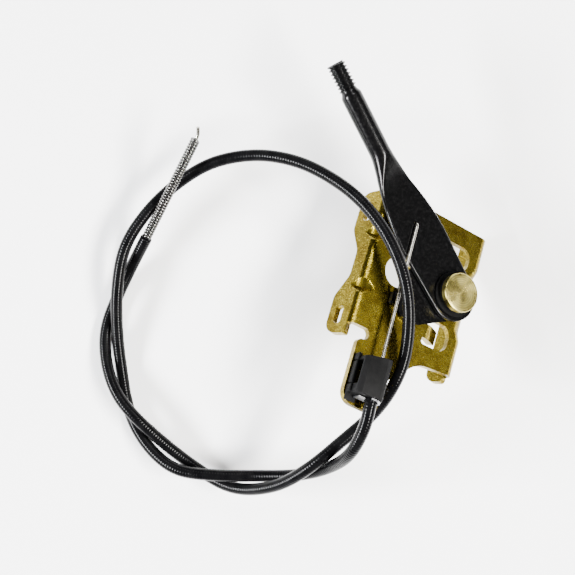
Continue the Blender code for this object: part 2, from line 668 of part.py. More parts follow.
# ---------------------------------------------------------------- conduit clip
def conduit_clip(frame):
    middle, half = (CLIP_LEFT + CLIP_RIGHT) / 2, (CLIP_RIGHT - CLIP_LEFT) / 2
    crown = CLIP_TOP - CLIP_SHOULDER
    dome = []
    sections = (
        (CLIP_FRONT, 0.35, CLIP_SLANT), (CLIP_FRONT - 0.4, 0.0, CLIP_SLANT),
        (CLIP_REAR + 0.4, 0.0, 0.0), (CLIP_REAR, 0.35, 0.0),
    )
    for y, inset, slant in sections:
        row = [(CLIP_LEFT + inset, GAP), (CLIP_RIGHT - inset, GAP)]
        for k in range(9):
            angle = math.pi * k / 8
            across = math.copysign(abs(math.cos(angle)) ** 0.45, math.cos(angle))
            height = CLIP_SHOULDER + (crown - inset) * math.sin(angle) ** 0.8
            row.append((middle + (half - inset) * across, height))
        dome.append([(x, y - slant * (CLIP_RIGHT - x), z) for x, z in row])
    body = part("clip_body", loft("clip_body", dome), BLACK_PLASTIC, frame)
    inside = CLIP_LEFT + 0.6
    recess_front, recess_rear = CLIP_FRONT - 3.4, CLIP_REAR + 3.0
    recess = box((CLIP_LEFT - 2, recess_rear, -1), (CLIP_SIDE, recess_front, CLIP_TOP - 1.9))
    front_ledge = box((CLIP_LEDGE, recess_front, GAP + 0.05), (inside, CLIP_FRONT - 1.0, 3.0), 0.25)
    rear_ledge = box((CLIP_LEDGE, CLIP_REAR + 0.2, GAP + 0.05), (inside, recess_rear, 3.0), 0.25)
    foot = box((CLIP_LEDGE + 0.1, CLIP_REAR - 2.2, GAP + 0.1), (CLIP_SIDE - 0.5, CLIP_REAR + 0.6, 1.3), 0.2)
    bore = cylinder(CONDUIT_RADIUS + GAP, 12.0, (CLIP_LINE_X, CLIP_REAR + 3.0, WIRE_HEIGHT), "Y", 20)
    wire_half = WIRE_RADIUS + 0.5
    wire_slot = box(
        (CLIP_LINE_X - wire_half - WIRE_PLAY, CLIP_REAR + 8.0, WIRE_HEIGHT - wire_half),
        (CLIP_LINE_X + wire_half, CLIP_FRONT + 2.0, WIRE_HEIGHT + wire_half),
    )
    boolean(body, recess)
    for block in (front_ledge, rear_ledge, foot):
        boolean(body, block, "UNION")
    boolean(body, bore)
    boolean(body, wire_slot)
    bar = box((CLIP_LEDGE, recess_rear + 0.4, GAP + 0.1), (CLIP_LEDGE + 1.3, recess_front - 0.4, 2.8), 0.2)
    part("clip_latch", mesh_from(bar, "clip_latch"), BLACK_PLASTIC, frame)
    retainer(frame)


def retainer_outline():
    """A wing beside the conduit and a hook that passes under it and back over its top."""
    line, height, inner = CLIP_LINE_X, WIRE_HEIGHT, CONDUIT_RADIUS + GAP
    inside = [math.radians(118 - 298 * k / 24) for k in range(25)]
    points = [(line + inner * math.cos(a), height + inner * math.sin(a)) for a in inside]
    outside = [math.radians(-90 + 208 * k / 16) for k in range(17)]
    points += [(line - inner - 2.4, height), (line - inner - 2.4, 1.7), (line, height - inner - RETAINER_RIM)]
    outer = inner + RETAINER_RIM
    points += [(line + outer * math.cos(a), height + outer * math.sin(a)) for a in outside[1:]]
    return points


def retainer(frame):
    """A sprung steel plate behind the clip that grips the conduit."""
    mesh = flat_curve("conduit_retainer", [retainer_outline()], RETAINER_SHEET)
    behind = Matrix.Translation((0, (CLIP_REAR - GAP - 0.05 - RETAINER_SHEET / 2) * MM, 0))
    mesh.transform(behind @ Matrix.Rotation(math.pi / 2, 4, "X"))
    part("conduit_retainer", mesh, STEEL, frame)


# ---------------------------------------------------------------- cable
def cable():
    """One jacket in two solids: the stretch held by the clip, and the stretch that lies on the table."""
    route = spline_points(ROUTE, CABLE_POINTS)
    meet = Vector(route[FLOOR_START])
    ahead = Vector(route[FLOOR_START + 1] - route[FLOOR_START - 1]).normalized()
    held = [*route[:FLOOR_START], meet - ahead, meet - ahead * GAP / 2]
    laid = [meet + ahead * GAP / 2, meet + ahead, *route[FLOOR_START + 1:]]
    tube("conduit_jacket", held, CONDUIT_RADIUS, GLOSS_BLACK)
    tube("conduit_floor_run", laid, CONDUIT_RADIUS, GLOSS_BLACK)
    start, end = Vector(route[-1]), Vector(COIL_TIP)
    along = (end - start).normalized()
    turn = along.to_track_quat("Z", "Y").to_matrix().to_4x4()
    length = (end - start).length
    base = empty("coil_axis", None, Matrix.Translation((start + along * GAP) * MM) @ turn)
    turned("conduit_end_coil", [
        (COIL_BORE, length), (COIL_RADIUS - 0.2, length), (COIL_RADIUS, length - 0.2),
        (COIL_RADIUS, 0.2), (COIL_RADIUS - 0.2, 0), (COIL_BORE, 0),
    ], STEEL, base, steps=20)
    tip = [(0, 0, 0.6), (0, 0, length + 0.6), (0.25, 0.1, length + 1.3), (1.1, 0.4, length + 3.2)]
    tube("wire_tip", tip, WIRE_RADIUS, STEEL, base, sides=1)


# ---------------------------------------------------------------- build
clear_scene()
PARTS = collection("throttle_control")
CUTTERS = collection("cutters")

normal = Vector(PLATE_NORMAL).normalized()
across = Vector(BEND_DIRECTION).cross(normal).normalized()
upward = normal.cross(across)
tilt = Matrix((across, upward, normal)).transposed().to_4x4()
bracket_frame = empty("bracket_frame", None, Matrix.Translation(Vector(PIVOT) * MM) @ tilt)
lever_axis = empty("lever_axis", bracket_frame, Matrix.Rotation(math.radians(LEVER_ANGLE), 4, "Z"))
hook_axis = empty("hook_axis", bracket_frame, Matrix.Translation(hook_place() * MM))

mounting_bracket(bracket_frame)
pivot_stack(bracket_frame)
control_lever(lever_axis)
throttle_wire(hook_axis)
conduit_clip(bracket_frame)
cable()
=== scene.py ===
# The look of the throttle control lever: every visible piece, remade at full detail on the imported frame.
# Shapes are drawn in millimetres in the bracket's own frame (X across the plate to the short flange,
# Y along the bends, Z the plate's normal, origin at the pivot); piece() places them in metres.
import json
import math

import bmesh
import bpy
import numpy as np
from mathutils import Matrix, Vector


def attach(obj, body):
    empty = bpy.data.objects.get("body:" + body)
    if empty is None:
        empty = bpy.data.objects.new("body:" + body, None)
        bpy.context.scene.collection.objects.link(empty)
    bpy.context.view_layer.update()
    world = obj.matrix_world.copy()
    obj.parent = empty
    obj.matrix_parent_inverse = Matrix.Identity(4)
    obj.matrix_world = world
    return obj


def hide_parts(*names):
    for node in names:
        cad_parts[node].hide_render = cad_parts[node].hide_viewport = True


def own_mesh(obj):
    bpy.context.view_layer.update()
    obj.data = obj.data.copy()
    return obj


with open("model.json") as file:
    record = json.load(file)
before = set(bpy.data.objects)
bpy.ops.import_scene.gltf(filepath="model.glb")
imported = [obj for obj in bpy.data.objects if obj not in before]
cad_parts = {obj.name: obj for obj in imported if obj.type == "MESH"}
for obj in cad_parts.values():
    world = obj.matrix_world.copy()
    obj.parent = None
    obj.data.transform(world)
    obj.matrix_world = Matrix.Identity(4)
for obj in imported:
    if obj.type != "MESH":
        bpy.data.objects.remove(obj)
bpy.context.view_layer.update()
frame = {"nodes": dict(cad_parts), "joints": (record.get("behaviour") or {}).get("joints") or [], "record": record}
JOINTS = {joint["name"]: joint for joint in frame["joints"]}
MOUNTS = {mount["name"]: mount for mount in frame["record"]["mounts"]}

MM = 0.001
PIVOT = Vector(JOINTS["lever_pivot"]["pos_m"])
NORMAL = Vector(JOINTS["lever_pivot"]["axis"]).normalized()
FLANGE_AXIS = Vector(MOUNTS["short_flange_face"]["axis"])
ACROSS = (FLANGE_AXIS - NORMAL * FLANGE_AXIS.dot(NORMAL)).normalized()
UPWARD = NORMAL.cross(ACROSS)
BRACKET = Matrix.Translation(PIVOT) @ Matrix((ACROSS, UPWARD, NORMAL)).transposed().to_4x4()
LEVER_ANGLE = math.radians(141.6)
LEVER = BRACKET @ Matrix.Rotation(LEVER_ANGLE, 4, "Z")

# Bracket
SHEET = 2.2
STAMPED_EDGE = 0.28            # rounding of the sheet's edges
LEFT_START = -29.8
RIGHT_START = 7.9
LEFT_TURN = math.radians(70)
RIGHT_TURN = math.radians(110)
LEFT_BEND = 3.2
RIGHT_BEND = 2.9
PLATE_TOP = 25.5
PLATE_TOP_LEFT = 26.2
PLATE_BOTTOM = -24.8
EAR_TOP = 24.4
EAR_DEPTH = 8.2
WAIST_DEPTH = 4.1
SHORT_DEPTH = 6.8
SHORT_END = -27.2
FLANGE_END = -27.0
FLANGE_MIDDLE = -1.6
ARM_LEFT = -28.0
ARM_RIGHT = -14.2
ARM_END = -48.8
NOTCH_TOP = -22.9
NOTCH_BOTTOM = -26.8
NOTCH_END = -24.4
SLOT_Y = 18.8
SLOT_DEPTH = 4.2
SLOT_LENGTH = 6.6
SLOT_WIDTH = 3.0
CLEAR_HOLE = (-20.1, 0.0, 5.3)
WINDOW_CENTRE = (0.2, 14.4)
WINDOW_SIZE = (10.2, 9.4)
TAB_WIDTH = 5.0
TAB_LENGTH = 8.0
TAB_BEND = 7.0
TAB_TURN = math.radians(34)
GUSSET_Y = 9.6
GUSSET_HALF = 2.6
GUSSET_REACH = 4.6
GUSSET_DEPTH = 2.1
SCALLOP = 2.3
SCALLOP_START = 2.8
SCALLOP_LOW = (-13.2, -8.4)
SCALLOP_HIGH = (9.6, 14.4)

# Pivot stack, heights above the plate's top face
STUD_RADIUS = 3.0
HEAD_RADIUS = 6.62
HEAD_BASE = 6.7
HEAD_TOP = 9.0
HEAD_EDGE = 0.4
TAIL_RADIUS = 2.4
STAKE_RADIUS = 3.5             # the staked tail behind the plate
STAKE_TOP = -4.0
WAVE_OUTER = 6.3
WAVE_MIDDLE = 5.75
WAVE_HALF = 0.14               # half the wave washer's thickness
WAVE_HEIGHT = 0.14             # how far its waves rise and fall
STOP_SHEET = 1.0
STOP_MIDDLE = 1.75
STOP_EDGE = 0.14
TURN_STEPS = 96                # sides of every turned piece

# Lever
LEVER_LENGTH = 86.2
PIVOT_END = 9.0
BLADE_HALF = 0.8
BLADE_MIDDLE = 3.35
ROD_RADIUS = 3.55
THREAD_START = 76.6
THREAD_OUTER = 3.17
THREAD_INNER = 2.48
THREAD_PITCH = 1.27
WIRE_HOLE = 26.8
SHOULDER = 0.35                # rounding where the blade's faces meet its edges
PRESS_START = 39.5             # the bar is pressed flat up to here
PRESS_END = 55.0
ROD_RISE = 1.45                # the rod's line lies this far above the blade's
ROD_RISE_END = 54.0
ROD_SLOPE = 0.026              # and climbs a little from here on
ROD_SLOPE_START = 50.0
NECK_LENGTH = 2.4              # the turned-down step before the thread
NECK_DEPTH = 0.85
BUSHING_RADIUS = 4.3           # of the lever's hole for its bushing
WIRE_BORE = 0.95
BLADE_WIDTHS = [               # (place along the lever, half the blade's width)
    (0.0, 9.0), (12.0, 9.5), (23.0, 9.75), (30.0, 9.0), (36.0, 7.8), (42.0, 6.2), (48.0, 4.6), (54.0, 3.55),
]

# Wire, clip and conduit
WIRE_RADIUS = 0.6
WIRE_HEIGHT = 4.95
CLIP_LINE_X = -19.9
CLIP_FRONT = -31.2
CLIP_REAR = -46.0
CLIP_LEFT = -26.8
CLIP_RIGHT = -16.2
CLIP_LEDGE = -27.5
CLIP_TOP = 7.4
CLIP_SIDE = -23.0
CLIP_SLANT = 0.2               # how far the front face steps back for each millimetre to the left
CLIP_EDGE = 0.45
CLIP_FRONT_WALL = 3.4          # the clip's walls before and behind its side recess
CLIP_REAR_WALL = 3.0
LEDGE_TOP = 3.0
WIRE_ROOM = 1.1                # half the clip's slot for the wire
WIRE_PLAY = 1.3                # the slot's extra room to the left as the lever swings
WIRE_END = -41.4
WIRE_SIDES = 16
RETAINER_RIM = 0.55
RETAINER_SHEET = 0.5
RETAINER_WING = 2.4
GAP = 0.3
CONDUIT_RADIUS = 2.1
RIDGE_PITCH = 0.95
RIDGE_DEPTH = 0.08
CONDUIT_SIDES = 20
RIB_STEPS = 6                  # rings of the conduit's mesh in each ridge
COIL_RADIUS = 1.75
COIL_PITCH = 1.08
COIL_WIRE = 0.48               # radius of the bare spiral's wire
COIL_SIDES = 10
COIL_STEPS = 20                # rings of the spiral's mesh in each turn

# The conduit's route, from inside the clip to the cut end of its jacket
ROUTE = [
    (-12.5, -49.0, 46.6), (-14.3, -54.8, 48.8), (-15.1, -59.4, 48.2), (-19.3, -69.1, 43.5),
    (-26.3, -76.2, 28.8), (-36.9, -80.0, 18.8), (-51.5, -81.0, 12.8), (-66.2, -80.9, 11.3),
    (-79.0, -79.1, 8.8), (-88.6, -71.6, 5.3), (-95.1, -60.4, 2.7), (-98.1, -44.8, 2.5),
    (-99.3, -29.8, 5.9), (-98.7, -16.0, 9.5), (-96.0, -3.0, 10.9), (-88.4, 8.8, 12.3),
    (-78.4, 18.2, 13.5), (-66.0, 25.3, 16.8), (-51.3, 27.7, 20.3), (-37.9, 25.4, 24.8),
    (-26.4, 19.7, 29.3), (-16.3, 11.5, 34.3), (-8.1, 0.2, 39.1), (-3.1, -11.8, 41.0),
    (-1.2, -22.5, 40.8), (-1.5, -34.5, 39.3), (-2.9, -41.6, 39.1), (-5.3, -47.5, 38.3),
    (-8.2, -52.9, 35.5), (-12.8, -58.9, 32.1), (-22.8, -67.7, 31.0), (-33.3, -76.5, 28.9),
    (-44.6, -83.5, 20.4), (-59.4, -85.4, 9.5), (-72.4, -78.9, 4.7), (-92.5, -61.7, 7.9),
    (-99.5, -52.8, 7.1), (-103.3, -41.2, 4.3), (-103.4, -30.9, 2.5), (-99.7, -20.5, 2.4),
    (-94.2, -9.4, 5.3), (-88.7, 0.1, 11.3),
]
COIL_TIP = (-70.5, 33.2, 26.8)
ROUTE_STEPS = 1200
ROUTE_SMOOTHING = 14           # in steps

# Camera and stage
CAMERA_PLACE = (-40.41, -16.81, 557.31)
LIGHTS_MIDDLE = Vector((-0.04, -0.016, 0.0))
FLOOR_SIZE = 7.0


# ---------------------------------------------------------------- camera and stage
def camera():
    """Straight above the part, as far away as a product camera on a copy stand."""
    data = bpy.data.cameras.new("camera")
    data.lens = 100.0
    data.sensor_width = 36.0
    data.clip_start = 0.01
    data.clip_end = 20.0
    made = bpy.data.objects.new("camera", data)
    made.location = [value * MM for value in CAMERA_PLACE]
    bpy.context.scene.collection.objects.link(made)
    bpy.context.scene.camera = made


def area_light(name, size, offset, power, colour=(1, 1, 1)):
    """A box light in metres, that far from the middle of the part and turned towards it."""
    data = bpy.data.lights.new(name, "AREA")
    data.shape = "RECTANGLE"
    data.size, data.size_y = size
    data.energy = power
    data.color = colour
    made = bpy.data.objects.new(name, data)
    made.location = LIGHTS_MIDDLE + Vector(offset)
    made.rotation_euler = (-Vector(offset)).to_track_quat("-Z", "Y").to_euler()
    bpy.context.scene.collection.objects.link(made)


def studio():
    """A pale table under dark surroundings: a warm box on the right, a cool one on the left, and a strip."""
    bpy.ops.mesh.primitive_plane_add(size=FLOOR_SIZE, location=(0, 0, 0))
    floor = bpy.context.object
    floor.name = "floor"
    paper, shader = new_material("paper", (0.86, 0.86, 0.865), 0.0, 0.9)
    shader.inputs["Specular IOR Level"].default_value = 0.1
    floor.data.materials.append(paper)
    area_light("right_softbox", (0.7, 0.25), (0.7, -0.26, 0.9), 77.0, (1.0, 0.985, 0.955))
    area_light("left_softbox", (0.55, 0.24), (-0.96, -0.17, 0.58), 80.0, (0.97, 0.98, 1.0))
    area_light("top_strip", (0.55, 0.22), (0.2, 0.7, 0.85), 7.0)
    world = bpy.data.worlds.new("studio")
    world.use_nodes = True
    backdrop = world.node_tree.nodes["Background"]
    backdrop.inputs["Color"].default_value = (0.95, 0.97, 1.0, 1.0)
    backdrop.inputs["Strength"].default_value = 0.05
    bpy.context.scene.world = world


# ---------------------------------------------------------------- materials
def new_material(name, colour, metallic, roughness):
    made = bpy.data.materials.new(name)
    made.use_nodes = True
    shader = made.node_tree.nodes["Principled BSDF"]
    shader.inputs["Base Color"].default_value = (*colour, 1.0)
    shader.inputs["Metallic"].default_value = metallic
    shader.inputs["Roughness"].default_value = roughness
    return made, shader


def texture(made, kind, size, detail=3.0):
    """A procedural texture whose features are about `size` millimetres; returns its output socket."""
    nodes, links = made.node_tree.nodes, made.node_tree.links
    where = nodes.new("ShaderNodeTexCoord")
    pattern = nodes.new("ShaderNodeTexNoise" if kind == "NOISE" else "ShaderNodeTexVoronoi")
    pattern.inputs["Scale"].default_value = 1.0 / (size * MM)
    links.new(where.outputs["Object"], pattern.inputs["Vector"])
    if kind == "VORONOI":
        return pattern.outputs["Distance"]
    pattern.inputs["Detail"].default_value = detail
    return pattern.outputs["Fac"]


def ramp(made, source, stops):
    """Colours along a factor: stops are (position, (r, g, b))."""
    nodes, links = made.node_tree.nodes, made.node_tree.links
    bar = nodes.new("ShaderNodeValToRGB")
    bar.color_ramp.elements[0].position = stops[0][0]
    bar.color_ramp.elements[0].color = (*stops[0][1], 1)
    bar.color_ramp.elements[1].position = stops[-1][0]
    bar.color_ramp.elements[1].color = (*stops[-1][1], 1)
    for position, colour in stops[1:-1]:
        bar.color_ramp.elements.new(position).color = (*colour, 1)
    links.new(source, bar.inputs["Fac"])
    return bar.outputs["Color"]


def spread(made, source, low, high):
    """The middle of a factor's range becomes a value between low and high."""
    nodes, links = made.node_tree.nodes, made.node_tree.links
    mapped = nodes.new("ShaderNodeMapRange")
    mapped.inputs["From Min"].default_value = 0.3
    mapped.inputs["From Max"].default_value = 0.7
    mapped.inputs["To Min"].default_value = low
    mapped.inputs["To Max"].default_value = high
    links.new(source, mapped.inputs["Value"])
    return mapped.outputs["Result"]


def mixed(made, factor, first, second, mode):
    """Two colours blended in the given mode."""
    blend = made.node_tree.nodes.new("ShaderNodeMix")
    blend.data_type = "RGBA"
    blend.blend_type = mode
    blend.inputs["Factor"].default_value = factor
    colours = [socket for socket in blend.inputs if socket.type == "RGBA"]
    result = next(socket for socket in blend.outputs if socket.type == "RGBA")
    for source, socket in zip((first, second), colours):
        made.node_tree.links.new(source, socket)
    return result


def bump(made, source, height, strength):
    """Relief of `height` millimetres."""
    nodes, links = made.node_tree.nodes, made.node_tree.links
    relief = nodes.new("ShaderNodeBump")
    relief.inputs["Strength"].default_value = strength
    relief.inputs["Distance"].default_value = height * MM
    links.new(source, relief.inputs["Height"])
    links.new(relief.outputs["Normal"], made.node_tree.nodes["Principled BSDF"].inputs["Normal"])


def feed(made, socket, source):
    made.node_tree.links.new(source, made.node_tree.nodes["Principled BSDF"].inputs[socket])


def gold_zinc():
    """Yellow zinc plate: a finely sparkling, slightly uneven passivated skin."""
    made, _ = new_material("gold_zinc", (0.5, 0.36, 0.1), 1.0, 0.38)
    grain = texture(made, "NOISE", 0.42)
    patches = texture(made, "NOISE", 2.6)
    clouds = texture(made, "NOISE", 14.0, 2.0)
    speckle = ramp(made, grain, [
        (0.34, (0.09, 0.062, 0.004)), (0.5, (0.18, 0.138, 0.013)),
        (0.62, (0.3, 0.24, 0.03)), (0.7, (0.62, 0.52, 0.12)),
    ])
    smudge = ramp(made, patches, [(0.36, (0.72, 0.68, 0.6)), (0.52, (1.0, 1.0, 1.0))])
    tint = ramp(made, clouds, [(0.35, (0.85, 0.8, 0.72)), (0.55, (1.0, 1.0, 1.0)), (0.7, (1.0, 0.95, 0.84))])
    worn = mixed(made, 1.0, speckle, smudge, "MULTIPLY")
    feed(made, "Base Color", mixed(made, 1.0, worn, tint, "MULTIPLY"))
    feed(made, "Roughness", spread(made, grain, 0.34, 0.22))
    bump(made, grain, 0.05, 0.8)
    return made


def gold_stud():
    """The stud's turned head: fine rings about the pivot over brighter zinc."""
    made, _ = new_material("gold_stud", (0.66, 0.52, 0.22), 1.0, 0.28)
    nodes, links = made.node_tree.nodes, made.node_tree.links
    where = nodes.new("ShaderNodeTexCoord")
    mapping = nodes.new("ShaderNodeMapping")
    mapping.vector_type = "TEXTURE"
    mapping.inputs["Location"].default_value = PIVOT
    mapping.inputs["Rotation"].default_value = BRACKET.to_euler()
    links.new(where.outputs["Object"], mapping.inputs["Vector"])
    rings = nodes.new("ShaderNodeTexWave")
    rings.wave_type = "RINGS"
    rings.rings_direction = "Z"
    rings.inputs["Scale"].default_value = 0.42 / MM
    rings.inputs["Distortion"].default_value = 0.3
    rings.inputs["Detail Scale"].default_value = 2.0
    links.new(mapping.outputs["Vector"], rings.inputs["Vector"])
    blotch = texture(made, "NOISE", 4.0)
    colour = ramp(made, blotch, [
        (0.3, (0.38, 0.31, 0.085)), (0.52, (0.48, 0.4, 0.115)), (0.7, (0.58, 0.5, 0.16)),
    ])
    lines = ramp(made, rings.outputs["Fac"], [(0.2, (0.68, 0.68, 0.68)), (0.8, (1.0, 1.0, 1.0))])
    feed(made, "Base Color", mixed(made, 1.0, colour, lines, "MULTIPLY"))
    feed(made, "Roughness", spread(made, blotch, 0.24, 0.32))
    bump(made, rings.outputs["Fac"], 0.05, 0.8)
    return made


def black_oxide(name, colour, roughness, gloss):
    """Blackened steel: almost even, with a fine orange-peel mottle and a few paler specks."""
    made, shader = new_material(name, colour, 0.0, roughness)
    shader.inputs["Specular IOR Level"].default_value = gloss
    grain = texture(made, "NOISE", 0.9, 5.0)
    specks = texture(made, "VORONOI", 2.6)
    dark = tuple(value * 0.7 for value in colour)
    light = tuple(value * 1.5 + 0.001 for value in colour)
    base = ramp(made, grain, [(0.35, dark), (0.5, colour), (0.68, light)])
    pale = ramp(made, specks, [(0.0, (0.05, 0.047, 0.043)), (0.045, colour)])
    feed(made, "Base Color", mixed(made, 0.5, base, pale, "LIGHTEN"))
    feed(made, "Roughness", spread(made, grain, roughness * 0.8, roughness * 1.2))
    bump(made, grain, 0.02, 0.25)
    return made


def steel(name, colour, roughness):
    """Bright drawn steel with faint draw marks."""
    made, _ = new_material(name, colour, 1.0, roughness)
    marks = texture(made, "NOISE", 0.35, 2.0)
    shade = tuple(value * 0.72 for value in colour)
    feed(made, "Base Color", ramp(made, marks, [(0.35, shade), (0.65, colour)]))
    feed(made, "Roughness", spread(made, marks, roughness + 0.12, roughness - 0.05))
    return made


def moulded_plastic():
    """Matt moulded plastic with a fine grain."""
    made, shader = new_material("black_plastic", (0.009, 0.009, 0.0092), 0.0, 0.52)
    shader.inputs["Specular IOR Level"].default_value = 0.03
    grain = texture(made, "NOISE", 0.28)
    clouds = texture(made, "NOISE", 5.0, 2.0)
    shades = [(0.3, (0.003, 0.003, 0.0031)), (0.7, (0.0055, 0.0055, 0.0056))]
    feed(made, "Base Color", ramp(made, clouds, shades))
    feed(made, "Roughness", spread(made, grain, 0.46, 0.6))
    bump(made, grain, 0.02, 0.5)
    return made


def gloss_jacket():
    """The conduit's glossy skin, a little smeared."""
    made, shader = new_material("gloss_black", (0.002, 0.002, 0.0022), 0.0, 0.14)
    shader.inputs["Specular IOR Level"].default_value = 0.06
    smears = texture(made, "NOISE", 3.0)
    feed(made, "Roughness", spread(made, smears, 0.1, 0.18))
    shades = [(0.35, (0.0015, 0.0015, 0.0017)), (0.7, (0.003, 0.003, 0.0032))]
    feed(made, "Base Color", ramp(made, smears, shades))
    return made


# ---------------------------------------------------------------- helpers
def smoothstep(value, start, end):
    share = min(max((value - start) / (end - start), 0.0), 1.0)
    return share * share * (3 - 2 * share)


def mesh_from(bm, name):
    bmesh.ops.recalc_face_normals(bm, faces=bm.faces)
    mesh = bpy.data.meshes.new(name)
    bm.to_mesh(mesh)
    bm.free()
    return mesh


def piece(name, mesh, matrix, finish, body, *nodes, slot, angle=35.0):
    """A piece drawn in millimetres, placed by matrix, that rides on a body and stands for CAD nodes."""
    mesh.transform(matrix @ Matrix.Scale(MM, 4))
    made = bpy.data.objects.new(name, mesh)
    bpy.context.scene.collection.objects.link(made)
    mesh.materials.clear()
    mesh.materials.append(finish)
    mesh.shade_smooth()
    mesh.set_sharp_from_angle(angle=math.radians(angle))
    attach(made, body)
    if nodes:
        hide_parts(*nodes)
    return made


def rounded(corners, steps=8):
    """A closed outline from (x, y, radius) corners, each corner as a tangent arc."""
    points = []
    for i, (x, y, radius) in enumerate(corners):
        here = Vector((x, y))
        before = (Vector(corners[i - 1][:2]) - here).normalized()
        after = (Vector(corners[(i + 1) % len(corners)][:2]) - here).normalized()
        half = before.angle(after) / 2
        if radius <= 0 or half > math.radians(89):
            points.append(here)
            continue
        reach = radius / math.tan(half)
        centre = here + (before + after).normalized() * radius / math.sin(half)
        start = here + before * reach - centre
        turn = start.angle_signed(here + after * reach - centre)
        for step in range(steps + 1):
            points.append(centre + Matrix.Rotation(-turn * step / steps, 2) @ start)
    return points


def circle(x, y, radius):
    angles = [2 * math.pi * i / 48 for i in range(48)]
    return [Vector((x + radius * math.cos(a), y + radius * math.sin(a))) for a in angles]


def flat_mesh(name, outlines, thickness=0.0):
    """A filled flat outline in millimetres; the later outlines are holes."""
    data = bpy.data.curves.new(name, "CURVE")
    data.dimensions = "2D"
    data.fill_mode = "BOTH"
    data.extrude = thickness / 2
    for outline in outlines:
        spline = data.splines.new("POLY")
        spline.points.add(len(outline) - 1)
        for point, spot in zip(spline.points, outline):
            point.co = (spot[0], spot[1], 0, 1)
        spline.use_cyclic_u = True
    holder = bpy.data.objects.new(name, data)
    bpy.context.scene.collection.objects.link(holder)
    bpy.context.view_layer.update()
    graph = bpy.context.evaluated_depsgraph_get()
    mesh = bpy.data.meshes.new_from_object(holder.evaluated_get(graph))
    bpy.data.objects.remove(holder, do_unlink=True)
    bm = bmesh.new()
    bm.from_mesh(mesh)
    bmesh.ops.remove_doubles(bm, verts=bm.verts, dist=1e-4)
    bm.to_mesh(mesh)
    bm.free()
    return mesh


def turned_mesh(name, profile):
    """A solid of revolution about Z from a closed (radius, z) profile."""
    bm = bmesh.new()
    angles = [2 * math.pi * i / TURN_STEPS for i in range(TURN_STEPS)]
    rows = []
    for radius, z in profile:
        if radius < 1e-6:
            rows.append([bm.verts.new((0, 0, z))])
        else:
            rows.append([bm.verts.new((radius * math.cos(a), radius * math.sin(a), z)) for a in angles])
    for low, high in zip(rows, rows[1:] + rows[:1]):
        if len(low) == 1 and len(high) == 1:
            continue
        for i in range(TURN_STEPS):
            j = (i + 1) % TURN_STEPS
            corners = [low[i % len(low)], low[j % len(low)], high[j % len(high)], high[i % len(high)]]
            bm.faces.new(list(dict.fromkeys(corners)))
    return mesh_from(bm, name)


def ring_profile(inner, outer, bottom, top, edge):
    """The (radius, z) profile of a flat ring whose outer edges are rounded."""
    near = edge * 0.3
    return [
        (inner, top), (outer - edge, top), (outer - near, top - near), (outer, top - edge),
        (outer, bottom + edge), (outer - near, bottom + near), (outer - edge, bottom), (inner, bottom),
    ]


def box_mesh(name, low, high, bevel):
    bm = bmesh.new()
    bmesh.ops.create_cube(bm, size=1.0)
    low, high = Vector(low), Vector(high)
    bmesh.ops.scale(bm, vec=high - low, verts=bm.verts)
    bmesh.ops.translate(bm, vec=(high + low) / 2, verts=bm.verts)
    bmesh.ops.bevel(bm, geom=bm.edges[:], offset=bevel, segments=3, profile=0.5, affect="EDGES")
    return mesh_from(bm, name)


def cylinder_mesh(name, radius, length, centre, axis="Z", steps=48):
    bm = bmesh.new()
    bmesh.ops.create_cone(bm, cap_ends=True, segments=steps, radius1=radius, radius2=radius, depth=length)
    if axis == "Y":
        bmesh.ops.rotate(bm, verts=bm.verts, matrix=Matrix.Rotation(math.pi / 2, 3, "X"))
    bmesh.ops.translate(bm, verts=bm.verts, vec=Vector(centre))
    return mesh_from(bm, name)


def carved(mesh, changes):
    """The mesh after Boolean (operation, other mesh) steps; all in millimetres."""
    base = bpy.data.objects.new("carved", mesh)
    bpy.context.scene.collection.objects.link(base)
    others = []
    for operation, other in changes:
        cutter = bpy.data.objects.new("cutter", other)
        bpy.context.scene.collection.objects.link(cutter)
        others.append(cutter)
        change = base.modifiers.new("cut", "BOOLEAN")
        change.operation = operation
        change.solver = "EXACT"
        change.object = cutter
    bpy.context.view_layer.update()
    graph = bpy.context.evaluated_depsgraph_get()
    made = bpy.data.meshes.new_from_object(base.evaluated_get(graph))
    for item in [base, *others]:
        bpy.data.objects.remove(item, do_unlink=True)
    return made


def spline_points(points, count):
    """Evenly spaced points on a centripetal Catmull-Rom curve through the route's points."""
    points = np.array(points, float)
    control = np.vstack([2 * points[0] - points[1], points, 2 * points[-1] - points[-2]])
    dense = []
    for i in range(1, len(control) - 2):
        p0, p1, p2, p3 = control[i - 1:i + 3]
        t1 = np.linalg.norm(p1 - p0) ** 0.5
        t2 = t1 + np.linalg.norm(p2 - p1) ** 0.5
        t3 = t2 + np.linalg.norm(p3 - p2) ** 0.5
        for t in np.linspace(t1, t2, 24, endpoint=False):
            a1 = (t1 - t) / t1 * p0 + t / t1 * p1
            a2 = (t2 - t) / (t2 - t1) * p1 + (t - t1) / (t2 - t1) * p2
            a3 = (t3 - t) / (t3 - t2) * p2 + (t - t2) / (t3 - t2) * p3
            b1 = (t2 - t) / t2 * a1 + t / t2 * a2
            b2 = (t3 - t) / (t3 - t1) * a2 + (t - t1) / (t3 - t1) * a3
            dense.append((t2 - t) / (t2 - t1) * b1 + (t - t1) / (t2 - t1) * b2)
    dense.append(points[-1])
    return resampled(np.array(dense), count)


def resampled(dense, count):
    along = np.concatenate([[0], np.cumsum(np.linalg.norm(np.diff(dense, axis=0), axis=1))])
    even = np.linspace(0, along[-1], count)
    return np.column_stack([np.interp(even, along, dense[:, k]) for k in range(3)])


